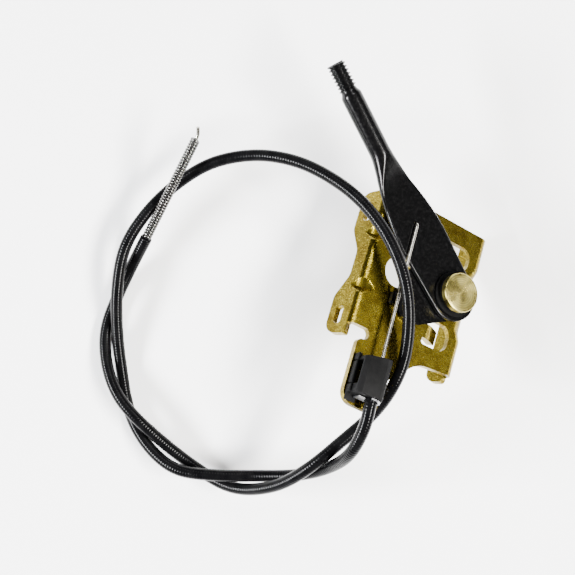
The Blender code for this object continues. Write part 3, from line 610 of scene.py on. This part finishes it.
def softened(points, reach):
    """The same path with its small kinks smoothed over about `reach` points; its ends stay put."""
    before = 2 * points[0] - points[reach:0:-1]
    after = 2 * points[-1] - points[-2:-reach - 2:-1]
    padded = np.vstack([before, points, after])
    weights = np.hanning(2 * reach + 3)[1:-1]
    weights /= weights.sum()
    return np.column_stack([np.convolve(padded[:, k], weights, "valid") for k in range(3)])


def sides_along(points):
    """Two steady side directions along a path, square to it and to each other."""
    tangents = np.gradient(points, axis=0)
    tangents /= np.linalg.norm(tangents, axis=1)[:, None]
    side = np.cross(tangents[0], np.eye(3)[np.argmin(np.abs(tangents[0]))])
    sides = []
    for tangent in tangents:
        side = side - tangent * np.dot(side, tangent)
        side = side / np.linalg.norm(side)
        sides.append(side)
    sides = np.array(sides)
    return sides, np.cross(tangents, sides)


def skinned(bm, rows):
    """Quads between neighbouring rings of vertices, and a cap on each end."""
    for low, high in zip(rows, rows[1:]):
        for i in range(len(low)):
            j = (i + 1) % len(low)
            bm.faces.new((low[i], low[j], high[j], high[i]))
    bm.faces.new(rows[0])
    bm.faces.new(rows[-1])


def swept_mesh(name, points, radius_at, sides):
    """A capped tube along points; radius_at(i, angle) gives its radius."""
    side, other = sides_along(points)
    angles = [2 * math.pi * k / sides for k in range(sides)]
    bm = bmesh.new()
    rows = []
    for i, point in enumerate(points):
        ring = [point + radius_at(i, a) * (math.cos(a) * side[i] + math.sin(a) * other[i]) for a in angles]
        rows.append([bm.verts.new(spot) for spot in ring])
    skinned(bm, rows)
    return mesh_from(bm, name)


def rounded_edges(made, width, segments):
    """Rounds a sheet's sharp edges as stamping leaves them."""
    edge = made.modifiers.new("stamped_edge", "BEVEL")
    edge.width = width * MM
    edge.segments = segments
    edge.limit_method = "ANGLE"
    edge.angle_limit = math.radians(50)


# ---------------------------------------------------------------- conduit
def conduit():
    """The free cable: a glossy skin drawn down over a close spiral, so it is ribbed all along."""
    smooth = softened(spline_points(ROUTE, ROUTE_STEPS), ROUTE_SMOOTHING)
    length = np.linalg.norm(np.diff(smooth, axis=0), axis=1).sum()
    count = int(length / RIDGE_PITCH) * RIB_STEPS + 1
    path = resampled(smooth, count)

    def rib(i, _):
        return CONDUIT_RADIUS - RIDGE_DEPTH * (1 - abs(math.sin(math.pi * i / RIB_STEPS)) ** 0.7)

    skin = swept_mesh("conduit_skin", path, rib, CONDUIT_SIDES)
    jacket = piece("conduit_skin", skin, Matrix.Identity(4), JACKET, "root",
                   "conduit_jacket", "conduit_floor_run", slot="gloss_black", angle=180.0)
    start = Vector(path[-1])
    bare = Vector(COIL_TIP) - start
    turn = bare.normalized().to_track_quat("Z", "Y").to_matrix().to_4x4()
    base = Matrix.Translation(start * MM) @ turn
    coil = bare_coil(base, bare.length)
    tip = wire_tip(base, bare.length)


def bare_coil(base, length):
    """The bare spiral past the jacket: one wire, close wound, a little uneven."""
    turns = (length - 0.4) / COIL_PITCH
    radius = COIL_RADIUS - COIL_WIRE
    points = []
    for i in range(int(turns * COIL_STEPS) + 1):
        angle = 2 * math.pi * i / COIL_STEPS
        height = 0.2 + COIL_WIRE + (length - 0.6 - 2 * COIL_WIRE) * i / (turns * COIL_STEPS)
        points.append((radius * math.cos(angle), radius * math.sin(angle), height))

    def flattened(_, angle):
        return COIL_WIRE * (1 - 0.12 * abs(math.cos(angle)))

    mesh = swept_mesh("bare_coil", np.array(points), flattened, COIL_SIDES)
    return piece("bare_coil", mesh, base, COIL_STEEL, "root", "conduit_end_coil",
                 slot="coil_steel", angle=180.0)


def wire_round(_, __):
    """A round wire has the same radius all along and all round."""
    return WIRE_RADIUS


def wire_tip(base, length):
    """The control wire's free end: straight out of the spiral, then bent aside and cut."""
    points = [
        (0, 0, 0.9), (0, 0, length * 0.5), (0, 0, length + 0.6),
        (0.25, 0.1, length + 1.5), (1.1, 0.4, length + 3.3),
    ]
    path = softened(spline_points(points, 90), 2)
    mesh = swept_mesh("wire_end", path, wire_round, WIRE_SIDES)
    return piece("wire_end", mesh, base, WIRE_STEEL, "cable_end", "wire_tip", slot="steel_wire", angle=40.0)


# ---------------------------------------------------------------- bracket
def panel_u(depth):
    """Flat-pattern position of a point that deep down the panel flange, past its bend."""
    return LEFT_START - LEFT_BEND * LEFT_TURN - depth


def short_u(depth):
    """The same for the short flange."""
    return RIGHT_START + RIGHT_BEND * RIGHT_TURN + depth


def fold(run, radius, turn):
    """How far across and how far down a point of a bent sheet lies, from where its bend begins."""
    angle = min(run / radius, turn)
    past = run - radius * angle
    across = radius * math.sin(angle) + past * math.cos(angle)
    down = radius * (1 - math.cos(angle)) + past * math.sin(angle)
    return across, down


def bent(u, y):
    """Top or outer face of the folded sheet at a point of its flat pattern."""
    x, z = u, 0.0
    if u < LEFT_START:
        out, down = fold(LEFT_START - u, LEFT_BEND, LEFT_TURN)
        x, z = LEFT_START - out, -down
    elif u > RIGHT_START:
        out, down = fold(u - RIGHT_START, RIGHT_BEND, RIGHT_TURN)
        x, z = RIGHT_START + out, -down
    push = dart(u, y)
    x += push * math.sin(LEFT_TURN / 2)
    z -= push * math.cos(LEFT_TURN / 2)
    beside_pivot = smoothstep(y, *SCALLOP_LOW) * (1 - smoothstep(y, *SCALLOP_HIGH))
    reach = smoothstep(u, SCALLOP_START, RIGHT_START) * (1 - smoothstep(u, RIGHT_START, short_u(2.0)))
    return Vector((x - SCALLOP * beside_pivot * reach, y, z))


def dart(u, y):
    """Depth of the stiffening darts pressed into the panel bend: lens-shaped, with a sharp valley."""
    along = (u - LEFT_START + LEFT_BEND * LEFT_TURN / 2) / GUSSET_REACH
    side = abs(abs(y) - GUSSET_Y)
    half = GUSSET_HALF * (1 - along * along)
    if abs(along) >= 1 or side >= half:
        return 0.0
    return GUSSET_DEPTH * (1 - along * along) * (1 - side / half)


def window_outline(side):
    """A lanced window with a tongue left standing from its left edge."""
    cx, cy = WINDOW_CENTRE[0], side * WINDOW_CENTRE[1]
    left, right = cx - WINDOW_SIZE[0] / 2, cx + WINDOW_SIZE[0] / 2
    low, high = cy - WINDOW_SIZE[1] / 2, cy + WINDOW_SIZE[1] / 2
    tab_low, tab_high = cy - TAB_WIDTH / 2, cy + TAB_WIDTH / 2
    tab_end = left + TAB_LENGTH
    return rounded([
        (left, low, 1.2), (left, tab_low, 0.0), (tab_end, tab_low, 0.8), (tab_end, tab_high, 0.8),
        (left, tab_high, 0.0), (left, high, 1.2), (right, high, 3.6), (right, low, 3.6),
    ])


def tongue(u, y):
    """Where a point of a window's tongue goes once it is curled down."""
    left = WINDOW_CENTRE[0] - WINDOW_SIZE[0] / 2
    out, down = fold(u - left, TAB_BEND, TAB_TURN)
    return Vector((left + out, y, -down))


def on_tongue(u, y):
    left = WINDOW_CENTRE[0] - WINDOW_SIZE[0] / 2
    beside = abs(abs(y) - WINDOW_CENTRE[1]) <= TAB_WIDTH / 2 + 0.01
    return beside and left - 0.01 <= u <= left + TAB_LENGTH + 0.01


def bracket_outline():
    """The flat pattern's edge, from the upper ear round by the short flange and the clip arm."""
    deep, waist = panel_u(EAR_DEPTH), panel_u(WAIST_DEPTH)
    short_edge, short_bend = short_u(SHORT_DEPTH), short_u(0)
    return rounded([
        (deep, EAR_TOP, 3.6),
        (LEFT_START, PLATE_TOP_LEFT, 8.0),
        (short_edge, PLATE_TOP, 1.2),
        (short_edge, SHORT_END, 3.4),
        (short_bend, SHORT_END, 1.2),
        (short_bend, PLATE_BOTTOM, 0.6),
        (-3.5, PLATE_BOTTOM - 1.4, 10.0),
        (ARM_RIGHT, PLATE_BOTTOM - 11.9, 10.0),
        (ARM_RIGHT, ARM_END, 2.5),
        (ARM_LEFT, ARM_END, 4.5),
        (ARM_LEFT, NOTCH_BOTTOM, 1.8),
        (NOTCH_END, NOTCH_BOTTOM, 1.8),
        (NOTCH_END, NOTCH_TOP, 1.8),
        (panel_u(-0.6), NOTCH_TOP, 0.6),
        (panel_u(-0.6), FLANGE_END, 0.8),
        (deep, FLANGE_END, 4.0),
        (deep, FLANGE_MIDDLE - 12.2, 5.0),
        (waist, FLANGE_MIDDLE - 4.6, 5.0),
        (waist, FLANGE_MIDDLE + 4.6, 5.0),
        (deep, FLANGE_MIDDLE + 12.2, 5.0),
    ])


def cut_line(bm, normal, place, low=-math.inf, high=math.inf):
    """Adds an edge line at a place along an axis, across the faces that lie between low and high in X."""
    faces = []
    for face in bm.faces:
        reach = [vertex.co.x for vertex in face.verts]
        if low <= min(reach) and max(reach) <= high:
            faces.append(face)
    edges = {edge for face in faces for edge in face.edges}
    verts = {vertex for face in faces for vertex in face.verts}
    spot = Vector(normal) * place
    bmesh.ops.bisect_plane(bm, geom=[*faces, *edges, *verts], dist=1e-3, plane_co=spot, plane_no=normal)


def slot_outline(side):
    u, y = panel_u(SLOT_DEPTH), FLANGE_MIDDLE + side * SLOT_Y
    half, end = SLOT_WIDTH / 2, SLOT_LENGTH / 2
    corners = ((u - half, y - end), (u - half, y + end), (u + half, y + end), (u + half, y - end))
    return rounded([(*corner, half - 0.01) for corner in corners])


def mark_folds(bm):
    """Edge lines where the sheet will bend: both flanges, darts, dished edge and tongues."""
    tab_left = WINDOW_CENTRE[0] - WINDOW_SIZE[0] / 2
    dart_end = panel_u(-LEFT_BEND * LEFT_TURN / 2) + GUSSET_REACH
    folds = [dart_end - 0.4 * k for k in range(8)]
    folds += [LEFT_START - LEFT_BEND * LEFT_TURN / 14 * k for k in range(15)]
    folds += [panel_u(0.45 * k) for k in range(1, 7)]
    folds += [SCALLOP_START + (RIGHT_START - SCALLOP_START) * k / 14 for k in range(14)]
    folds += [RIGHT_START + RIGHT_BEND * RIGHT_TURN / 16 * k for k in range(17)]
    folds += [short_u(0.5 * k) for k in range(1, 5)]
    folds += [tab_left + TAB_BEND * TAB_TURN / 8 * k for k in range(9)]
    for place in sorted(set(round(value, 4) for value in folds)):
        cut_line(bm, (1, 0, 0), place)
    for k in range(-10, 11):
        for side in (-1, 1):
            place = side * (GUSSET_Y + GUSSET_HALF * k / 10)
            cut_line(bm, (0, 1, 0), place, high=dart_end + 0.05)
    for low, high in (SCALLOP_LOW, SCALLOP_HIGH):
        for k in range(11):
            cut_line(bm, (0, 1, 0), low + (high - low) * k / 10, low=SCALLOP_START - 0.05)


def bracket():
    """One stamped sheet: a flat pattern with its holes, folded, dished and given its thickness."""
    holes = [circle(*CLEAR_HOLE), circle(0, 0, TAIL_RADIUS + GAP), window_outline(-1), window_outline(1)]
    mesh = flat_mesh("bracket", [bracket_outline(), *holes, slot_outline(-1), slot_outline(1)])
    bm = bmesh.new()
    bm.from_mesh(mesh)
    mark_folds(bm)
    for vertex in bm.verts:
        u, y = vertex.co.x, vertex.co.y
        vertex.co = tongue(u, y) if on_tongue(u, y) else bent(u, y)
    bmesh.ops.remove_doubles(bm, verts=bm.verts, dist=0.02)
    bmesh.ops.dissolve_limit(bm, angle_limit=math.radians(0.3), verts=bm.verts, edges=bm.edges)
    for face in bm.faces:
        face.normal_update()
    if sum(face.normal.z * face.calc_area() for face in bm.faces) < 0:
        bmesh.ops.reverse_faces(bm, faces=bm.faces)
    bm.to_mesh(mesh)
    bm.free()
    made = piece("bracket_sheet", mesh, BRACKET, GOLD, "root", "mounting_bracket",
                 slot="gold_zinc", angle=30.0)
    wall = made.modifiers.new("sheet", "SOLIDIFY")
    wall.thickness = SHEET * MM
    wall.offset = -1.0
    rounded_edges(made, STAMPED_EDGE, 3)
    shading = made.modifiers.new("shading", "WEIGHTED_NORMAL")
    shading.keep_sharp = True


# ---------------------------------------------------------------- pivot stack
def pivot_stack():
    """The shouldered stud and the rings it holds; a ring's sizes are inner, outer, bottom and top."""
    arc = []
    for k in range(7):
        turn = math.pi / 2 * k / 6
        inset, drop = HEAD_EDGE * (1 - math.sin(turn)), HEAD_EDGE * (1 - math.cos(turn))
        arc.append((HEAD_RADIUS - inset, HEAD_TOP - drop))
    profile = [
        (0, HEAD_TOP - 0.12), (1.6, HEAD_TOP - 0.1), (4.4, HEAD_TOP - 0.03), *arc,
        (HEAD_RADIUS, HEAD_BASE + 0.2), (HEAD_RADIUS - 0.2, HEAD_BASE), (STUD_RADIUS, HEAD_BASE),
        (STUD_RADIUS, GAP), (TAIL_RADIUS, GAP), (TAIL_RADIUS, STAKE_TOP), (STAKE_RADIUS, STAKE_TOP),
        (STAKE_RADIUS, -4.5), (3.2, -4.9), (2.7, -5.1), (0, -5.3),
    ]
    head = turned_mesh("stud_head", profile)
    piece("stud_head", head, BRACKET, STUD, "root", "pivot_stud", slot="gold_stud")
    inner = STUD_RADIUS + GAP
    rings = [
        ("lower_washer_ring", "lower_friction_washer", (inner, 7.8, GAP, 0.95), FIBRE, "black_fibre"),
        ("upper_washer_ring", "upper_friction_washer", (inner, 7.6, 4.45, 5.15), FIBRE, "black_fibre"),
        ("spacer_ring", "head_spacer", (inner, 5.7, 6.2, 6.42), SPRING, "dark_spring"),
        ("back_washer_ring", "backing_washer", (TAIL_RADIUS + GAP, 4.1, -3.7, -2.6), ZINC, "zinc"),
    ]
    for name, node, sizes, finish, slot in rings:
        mesh = turned_mesh(name, ring_profile(*sizes, edge=min(0.15, (sizes[3] - sizes[2]) / 3)))
        piece(name, mesh, BRACKET, finish, "root", node, slot=slot)
    wave_washer(inner, WAVE_OUTER)
    stop_plate()


def wave_washer(inner, outer):
    """A thin spring ring with three waves round it."""
    half, edge = WAVE_HALF, 0.08
    section = [(inner, half), (outer - edge, half), (outer, half - edge), (outer, edge - half),
               (outer - edge, -half), (inner, -half)]
    bm = bmesh.new()
    rows = []
    for i in range(TURN_STEPS):
        angle = 2 * math.pi * i / TURN_STEPS
        c, s = math.cos(angle), math.sin(angle)
        height = WAVE_MIDDLE + WAVE_HEIGHT * math.sin(3 * angle)
        rows.append([bm.verts.new((r * c, r * s, height + z)) for r, z in section])
    for i, low in enumerate(rows):
        high = rows[(i + 1) % TURN_STEPS]
        for k in range(len(low)):
            j = (k + 1) % len(low)
            bm.faces.new((low[k], low[j], high[j], high[k]))
    piece("wave_ring", mesh_from(bm, "wave_ring"), BRACKET, SPRING, "root", "wave_washer", slot="dark_spring")


def stop_plate():
    """The black sector under the lever, with a tab curled down at its far corner."""
    outline = rounded([
        (8.2, 2.0, 7.0), (2.0, 8.2, 7.0), (-15.0, 6.5, 3.0), (-19.6, -1.5, 3.0), (-19.6, -7.6, 0.5),
        (-21.2, -7.6, 0.4), (-21.2, -11.8, 0.8), (-17.6, -11.8, 0.5), (-15.8, -14.4, 1.5),
        (-9.4, -14.9, 1.8), (2.0, -8.6, 7.0),
    ])
    mesh = flat_mesh("stop_sheet", [outline, circle(0, 0, STUD_RADIUS + GAP)], STOP_SHEET)
    mesh.transform(Matrix.Translation((0, 0, STOP_MIDDLE)))
    tab = box_mesh("stop_tab", (-21.2, -11.7, 0.35), (-20.1, -7.7, 1.6), 0.25)
    made = piece("stop_sheet", carved(mesh, [("UNION", tab)]), BRACKET, STOP_BLACK, "root", "stop_plate",
                 slot="black_steel", angle=40.0)
    rounded_edges(made, STOP_EDGE, 2)


# ---------------------------------------------------------------- lever
def half_width(x):
    """Half the blade's width at a place along the lever, on a smooth curve through BLADE_WIDTHS."""
    if x <= 0:
        return math.sqrt(max(PIVOT_END ** 2 - x * x, 0.0))
    if x >= BLADE_WIDTHS[-1][0]:
        return ROD_RADIUS
    places = [spot for spot, _ in BLADE_WIDTHS]
    widths = [width for _, width in BLADE_WIDTHS]
    slopes = np.gradient(widths, places)
    slopes[-1] = -0.05
    k = max(i for i in range(len(places) - 1) if places[i] <= x)
    span = places[k + 1] - places[k]
    t = (x - places[k]) / span
    return (
        (1 + 2 * t) * (1 - t) ** 2 * widths[k] + t * (1 - t) ** 2 * span * slopes[k]
        + t * t * (3 - 2 * t) * widths[k + 1] + t * t * (t - 1) * span * slopes[k + 1]
    )


def thread_radius(x, angle):
    """A single-start thread with flat crests and roots, chamfered at the lever's end."""
    turn = (x / THREAD_PITCH + angle / (2 * math.pi)) % 1.0
    ridge = min(max(1.25 - abs(2 * turn - 1) * 1.5, 0.0), 1.0)
    radius = THREAD_INNER + (THREAD_OUTER - THREAD_INNER) * ridge
    return min(radius, THREAD_OUTER - max(x - LEVER_LENGTH + 0.4, 0.0) * 0.6)


def lever_section(x, angles):
    """A flattened round bar: the blade is the bar's section pressed down to the sheet's height."""
    wide = half_width(x)
    limit = BLADE_HALF + (ROD_RADIUS + 0.4 - BLADE_HALF) * smoothstep(x, PRESS_START, PRESS_END)
    middle = BLADE_MIDDLE + ROD_RISE * smoothstep(x, PRESS_START, ROD_RISE_END)
    middle += max(x - ROD_SLOPE_START, 0.0) * ROD_SLOPE
    points = []
    for angle in angles:
        across, up = math.cos(angle), math.sin(angle)
        if x > THREAD_START:
            radius = thread_radius(x, angle)
            points.append((x, radius * across, middle + radius * up))
        elif x > THREAD_START - NECK_LENGTH:
            radius = ROD_RADIUS - NECK_DEPTH * smoothstep(x, THREAD_START - NECK_LENGTH, THREAD_START)
            points.append((x, radius * across, middle + radius * up))
        else:
            points.append((x, wide * across, middle + soft_limit(ROD_RADIUS * up, limit)))
    return points


def soft_limit(value, limit):
    """Clips to +-limit with a small round shoulder."""
    flat = limit - SHOULDER
    if abs(value) <= flat:
        return value
    over = abs(value) - flat
    return math.copysign(flat + SHOULDER * (1 - math.exp(-over / SHOULDER)), value)


def lever():
    """The lever as rings along its length, closest together where its section changes."""
    count = 64
    angles = [2 * math.pi * i / count + math.pi / count for i in range(count)]
    places = [-PIVOT_END * math.cos(math.pi / 2 * k / 14) + 0.001 for k in range(14)]
    places += [2.0 * k for k in range(20)]
    places += [39.0 + 0.5 * k for k in range(36)]
    places += [58.0 + 2.0 * k for k in range(9)]
    places += [74.4 + 0.2 * k for k in range(11)]
    step = THREAD_PITCH / 14
    places += [THREAD_START + step * k for k in range(1, int((LEVER_LENGTH - THREAD_START) / step))]
    places.append(LEVER_LENGTH)
    bm = bmesh.new()
    rows = [[bm.verts.new(p) for p in lever_section(x, angles)] for x in sorted(set(places))]
    skinned(bm, rows)
    bores = [
        ("DIFFERENCE", cylinder_mesh("stud_bore", BUSHING_RADIUS, 6.0, (0, 0, BLADE_MIDDLE))),
        ("DIFFERENCE", cylinder_mesh("wire_bore", WIRE_BORE, 6.0, (WIRE_HOLE, 0, BLADE_MIDDLE), steps=24)),
    ]
    mesh = carved(mesh_from(bm, "lever_bar"), bores)
    piece("lever_bar", mesh, LEVER, LEVER_BLACK, "lever", "control_lever", slot="black_lever", angle=32.0)


# ---------------------------------------------------------------- wire
def link_wire():
    """The control wire: a hook down through the lever's hole, then a straight run back to the clip."""
    hook = Vector((WIRE_HOLE * math.cos(LEVER_ANGLE), WIRE_HOLE * math.sin(LEVER_ANGLE), BLADE_MIDDLE))
    level = WIRE_HEIGHT - BLADE_MIDDLE
    below = -BLADE_HALF - WIRE_RADIUS - 0.35
    top = Vector((0, -1.6, level))
    far = Vector((CLIP_LINE_X - hook.x, WIRE_END - hook.y, level))
    near = top + (far - top) * 0.08
    bend = [
        (0, 2.4, below), (0, 1.5, below), (0, 0.7, below + 0.1), (0, 0.15, below + 0.5),
        (0, 0, below + 1.1), (0, 0, 0), (0, -0.02, level - 1.0), (0, -0.25, level - 0.4),
        (0, -0.75, level - 0.05), tuple(top), tuple(top + (near - top) * 0.5), tuple(near),
    ]
    base = BRACKET @ Matrix.Translation(hook * MM)
    path = softened(spline_points(bend, 120), 3)
    mesh = swept_mesh("wire_hook", path, wire_round, WIRE_SIDES)
    piece("wire_hook", mesh, base, WIRE_STEEL, "wire", "throttle_wire", slot="steel_wire", angle=40.0)
    straight = np.array([tuple(near + (far - near) * k / 40) for k in range(41)])
    mesh = swept_mesh("wire_run", straight, wire_round, WIRE_SIDES)
    run = piece("wire_run", mesh, base, WIRE_STEEL, "wire", slot="steel_wire", angle=40.0)
    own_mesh(run)


# ---------------------------------------------------------------- clip
def clip_shell():
    """The clip's domed outline carried from its front face to its rear one, edges rounded at both."""
    left, right, top = CLIP_LEFT, CLIP_RIGHT, CLIP_TOP
    dome = rounded([
        (left, GAP, 0.4), (right, GAP, 0.4), (right, top - 1.0, 2.2), (right - 2.6, top, 1.6),
        (left + 1.4, top, 0.9), (left, top - 1.2, 1.0),
    ], steps=6)
    near = CLIP_EDGE * 0.3
    sections = (
        (CLIP_FRONT, CLIP_EDGE, CLIP_SLANT), (CLIP_FRONT - near, near, CLIP_SLANT),
        (CLIP_FRONT - CLIP_EDGE, 0.0, CLIP_SLANT), (CLIP_REAR + CLIP_EDGE, 0.0, 0.0),
        (CLIP_REAR + near, near, 0.0), (CLIP_REAR, CLIP_EDGE, 0.0),
    )
    centre = Vector(((left + right) / 2, top / 2))
    size = Vector(((right - left) / 2, top / 2))
    bm = bmesh.new()
    rows = []
    for y, inset, slant in sections:
        row = []
        for spot in dome:
            x = centre.x + (spot.x - centre.x) * (1 - inset / size.x)
            z = centre.y + (spot.y - centre.y) * (1 - inset / size.y)
            row.append(bm.verts.new((x, y - slant * (right - x), z)))
        rows.append(row)
    skinned(bm, rows)
    return mesh_from(bm, "clip_housing")


def clip():
    """The moulded conduit clip: a flat-topped housing with a latch window down its left side."""
    left, line, ledge = CLIP_LEFT, CLIP_LINE_X, CLIP_LEDGE
    front, rear = CLIP_FRONT - CLIP_FRONT_WALL, CLIP_REAR + CLIP_REAR_WALL
    inside, low, high = left + 0.6, WIRE_HEIGHT - WIRE_ROOM, WIRE_HEIGHT + WIRE_ROOM
    recess = box_mesh("recess", (left - 2, rear, -1), (CLIP_SIDE, front, CLIP_TOP - 1.9), 0.2)
    front_ledge = box_mesh("front_ledge", (ledge, front, 0.35), (inside, CLIP_FRONT - 1.0, LEDGE_TOP), 0.3)
    rear_ledge = box_mesh("rear_ledge", (ledge, CLIP_REAR + 0.2, 0.35), (inside, rear, LEDGE_TOP), 0.3)
    foot = box_mesh("foot", (ledge + 0.1, CLIP_REAR - 2.2, 0.4), (-23.5, CLIP_REAR + 0.6, 1.3), 0.2)
    bore_middle = (line, CLIP_REAR + 3.0, WIRE_HEIGHT)
    bore = cylinder_mesh("bore", CONDUIT_RADIUS + GAP, 12.0, bore_middle, "Y")
    slot = box_mesh("wire_slot", (line - WIRE_ROOM - WIRE_PLAY, CLIP_REAR + 8.0, low),
                    (line + WIRE_ROOM, CLIP_FRONT + 2.0, high), 0.3)
    mesh = carved(clip_shell(), [
        ("DIFFERENCE", recess), ("UNION", front_ledge), ("UNION", rear_ledge), ("UNION", foot),
        ("DIFFERENCE", bore), ("DIFFERENCE", slot),
    ])
    piece("clip_housing", mesh, BRACKET, PLASTIC, "root", "clip_body", slot="black_plastic", angle=32.0)
    latch = box_mesh("latch_bar", (ledge, rear + 0.4, 0.4), (ledge + 1.3, front - 0.4, 2.8), 0.35)
    piece("latch_bar", latch, BRACKET, PLASTIC, "root", "clip_latch", slot="black_plastic")
    retainer()


def retainer_outline():
    """A wing beside the conduit and a hook that passes under it and back over its top."""
    line, height, inner = CLIP_LINE_X, WIRE_HEIGHT, CONDUIT_RADIUS + GAP
    outer, wing = inner + RETAINER_RIM, line - inner - RETAINER_WING
    inside = [math.radians(118 - 298 * k / 48) for k in range(49)]
    outside = [math.radians(-90 + 208 * k / 32) for k in range(1, 33)]
    return [
        *[(line + inner * math.cos(a), height + inner * math.sin(a)) for a in inside],
        (wing, height), (wing, 1.7), (line, height - outer),
        *[(line + outer * math.cos(a), height + outer * math.sin(a)) for a in outside],
    ]


def retainer():
    mesh = flat_mesh("retainer_strip", [retainer_outline()], RETAINER_SHEET)
    behind = Matrix.Translation((0, CLIP_REAR - GAP - 0.05 - RETAINER_SHEET / 2, 0))
    mesh.transform(behind @ Matrix.Rotation(math.pi / 2, 4, "X"))
    piece("retainer_strip", mesh, BRACKET, RETAINER, "root", "conduit_retainer", slot="retainer_steel")


def nylon_bushing():
    """The lever's bushing keeps its CAD mesh and gets its finish here."""
    nylon, _ = new_material("nylon", (0.72, 0.7, 0.64), 0.0, 0.45)
    feed(nylon, "Roughness", spread(nylon, texture(nylon, "NOISE", 0.5), 0.4, 0.55))
    bushing = frame["nodes"]["lever_bushing"]
    bushing.data.materials.clear()
    bushing.data.materials.append(nylon)


# ---------------------------------------------------------------- scene
GOLD = gold_zinc()
STUD = gold_stud()
FIBRE = black_oxide("black_fibre", (0.002, 0.002, 0.002), 0.62, 0.025)
STOP_BLACK = black_oxide("black_steel", (0.0013, 0.0013, 0.0014), 0.24, 0.09)
SPRING = black_oxide("dark_spring", (0.004, 0.004, 0.0042), 0.4, 0.08)
LEVER_BLACK = black_oxide("black_lever", (0.0014, 0.0014, 0.0015), 0.2, 0.15)
ZINC = steel("zinc", (0.55, 0.55, 0.56), 0.4)
WIRE_STEEL = steel("steel_wire", (0.34, 0.325, 0.29), 0.2)
COIL_STEEL = steel("coil_steel", (0.11, 0.108, 0.102), 0.17)
RETAINER = steel("retainer_steel", (0.35, 0.35, 0.36), 0.3)
PLASTIC = moulded_plastic()
JACKET = gloss_jacket()

camera()
conduit()
studio()
bracket()
pivot_stack()
lever()
link_wire()
clip()
nylon_bushing()
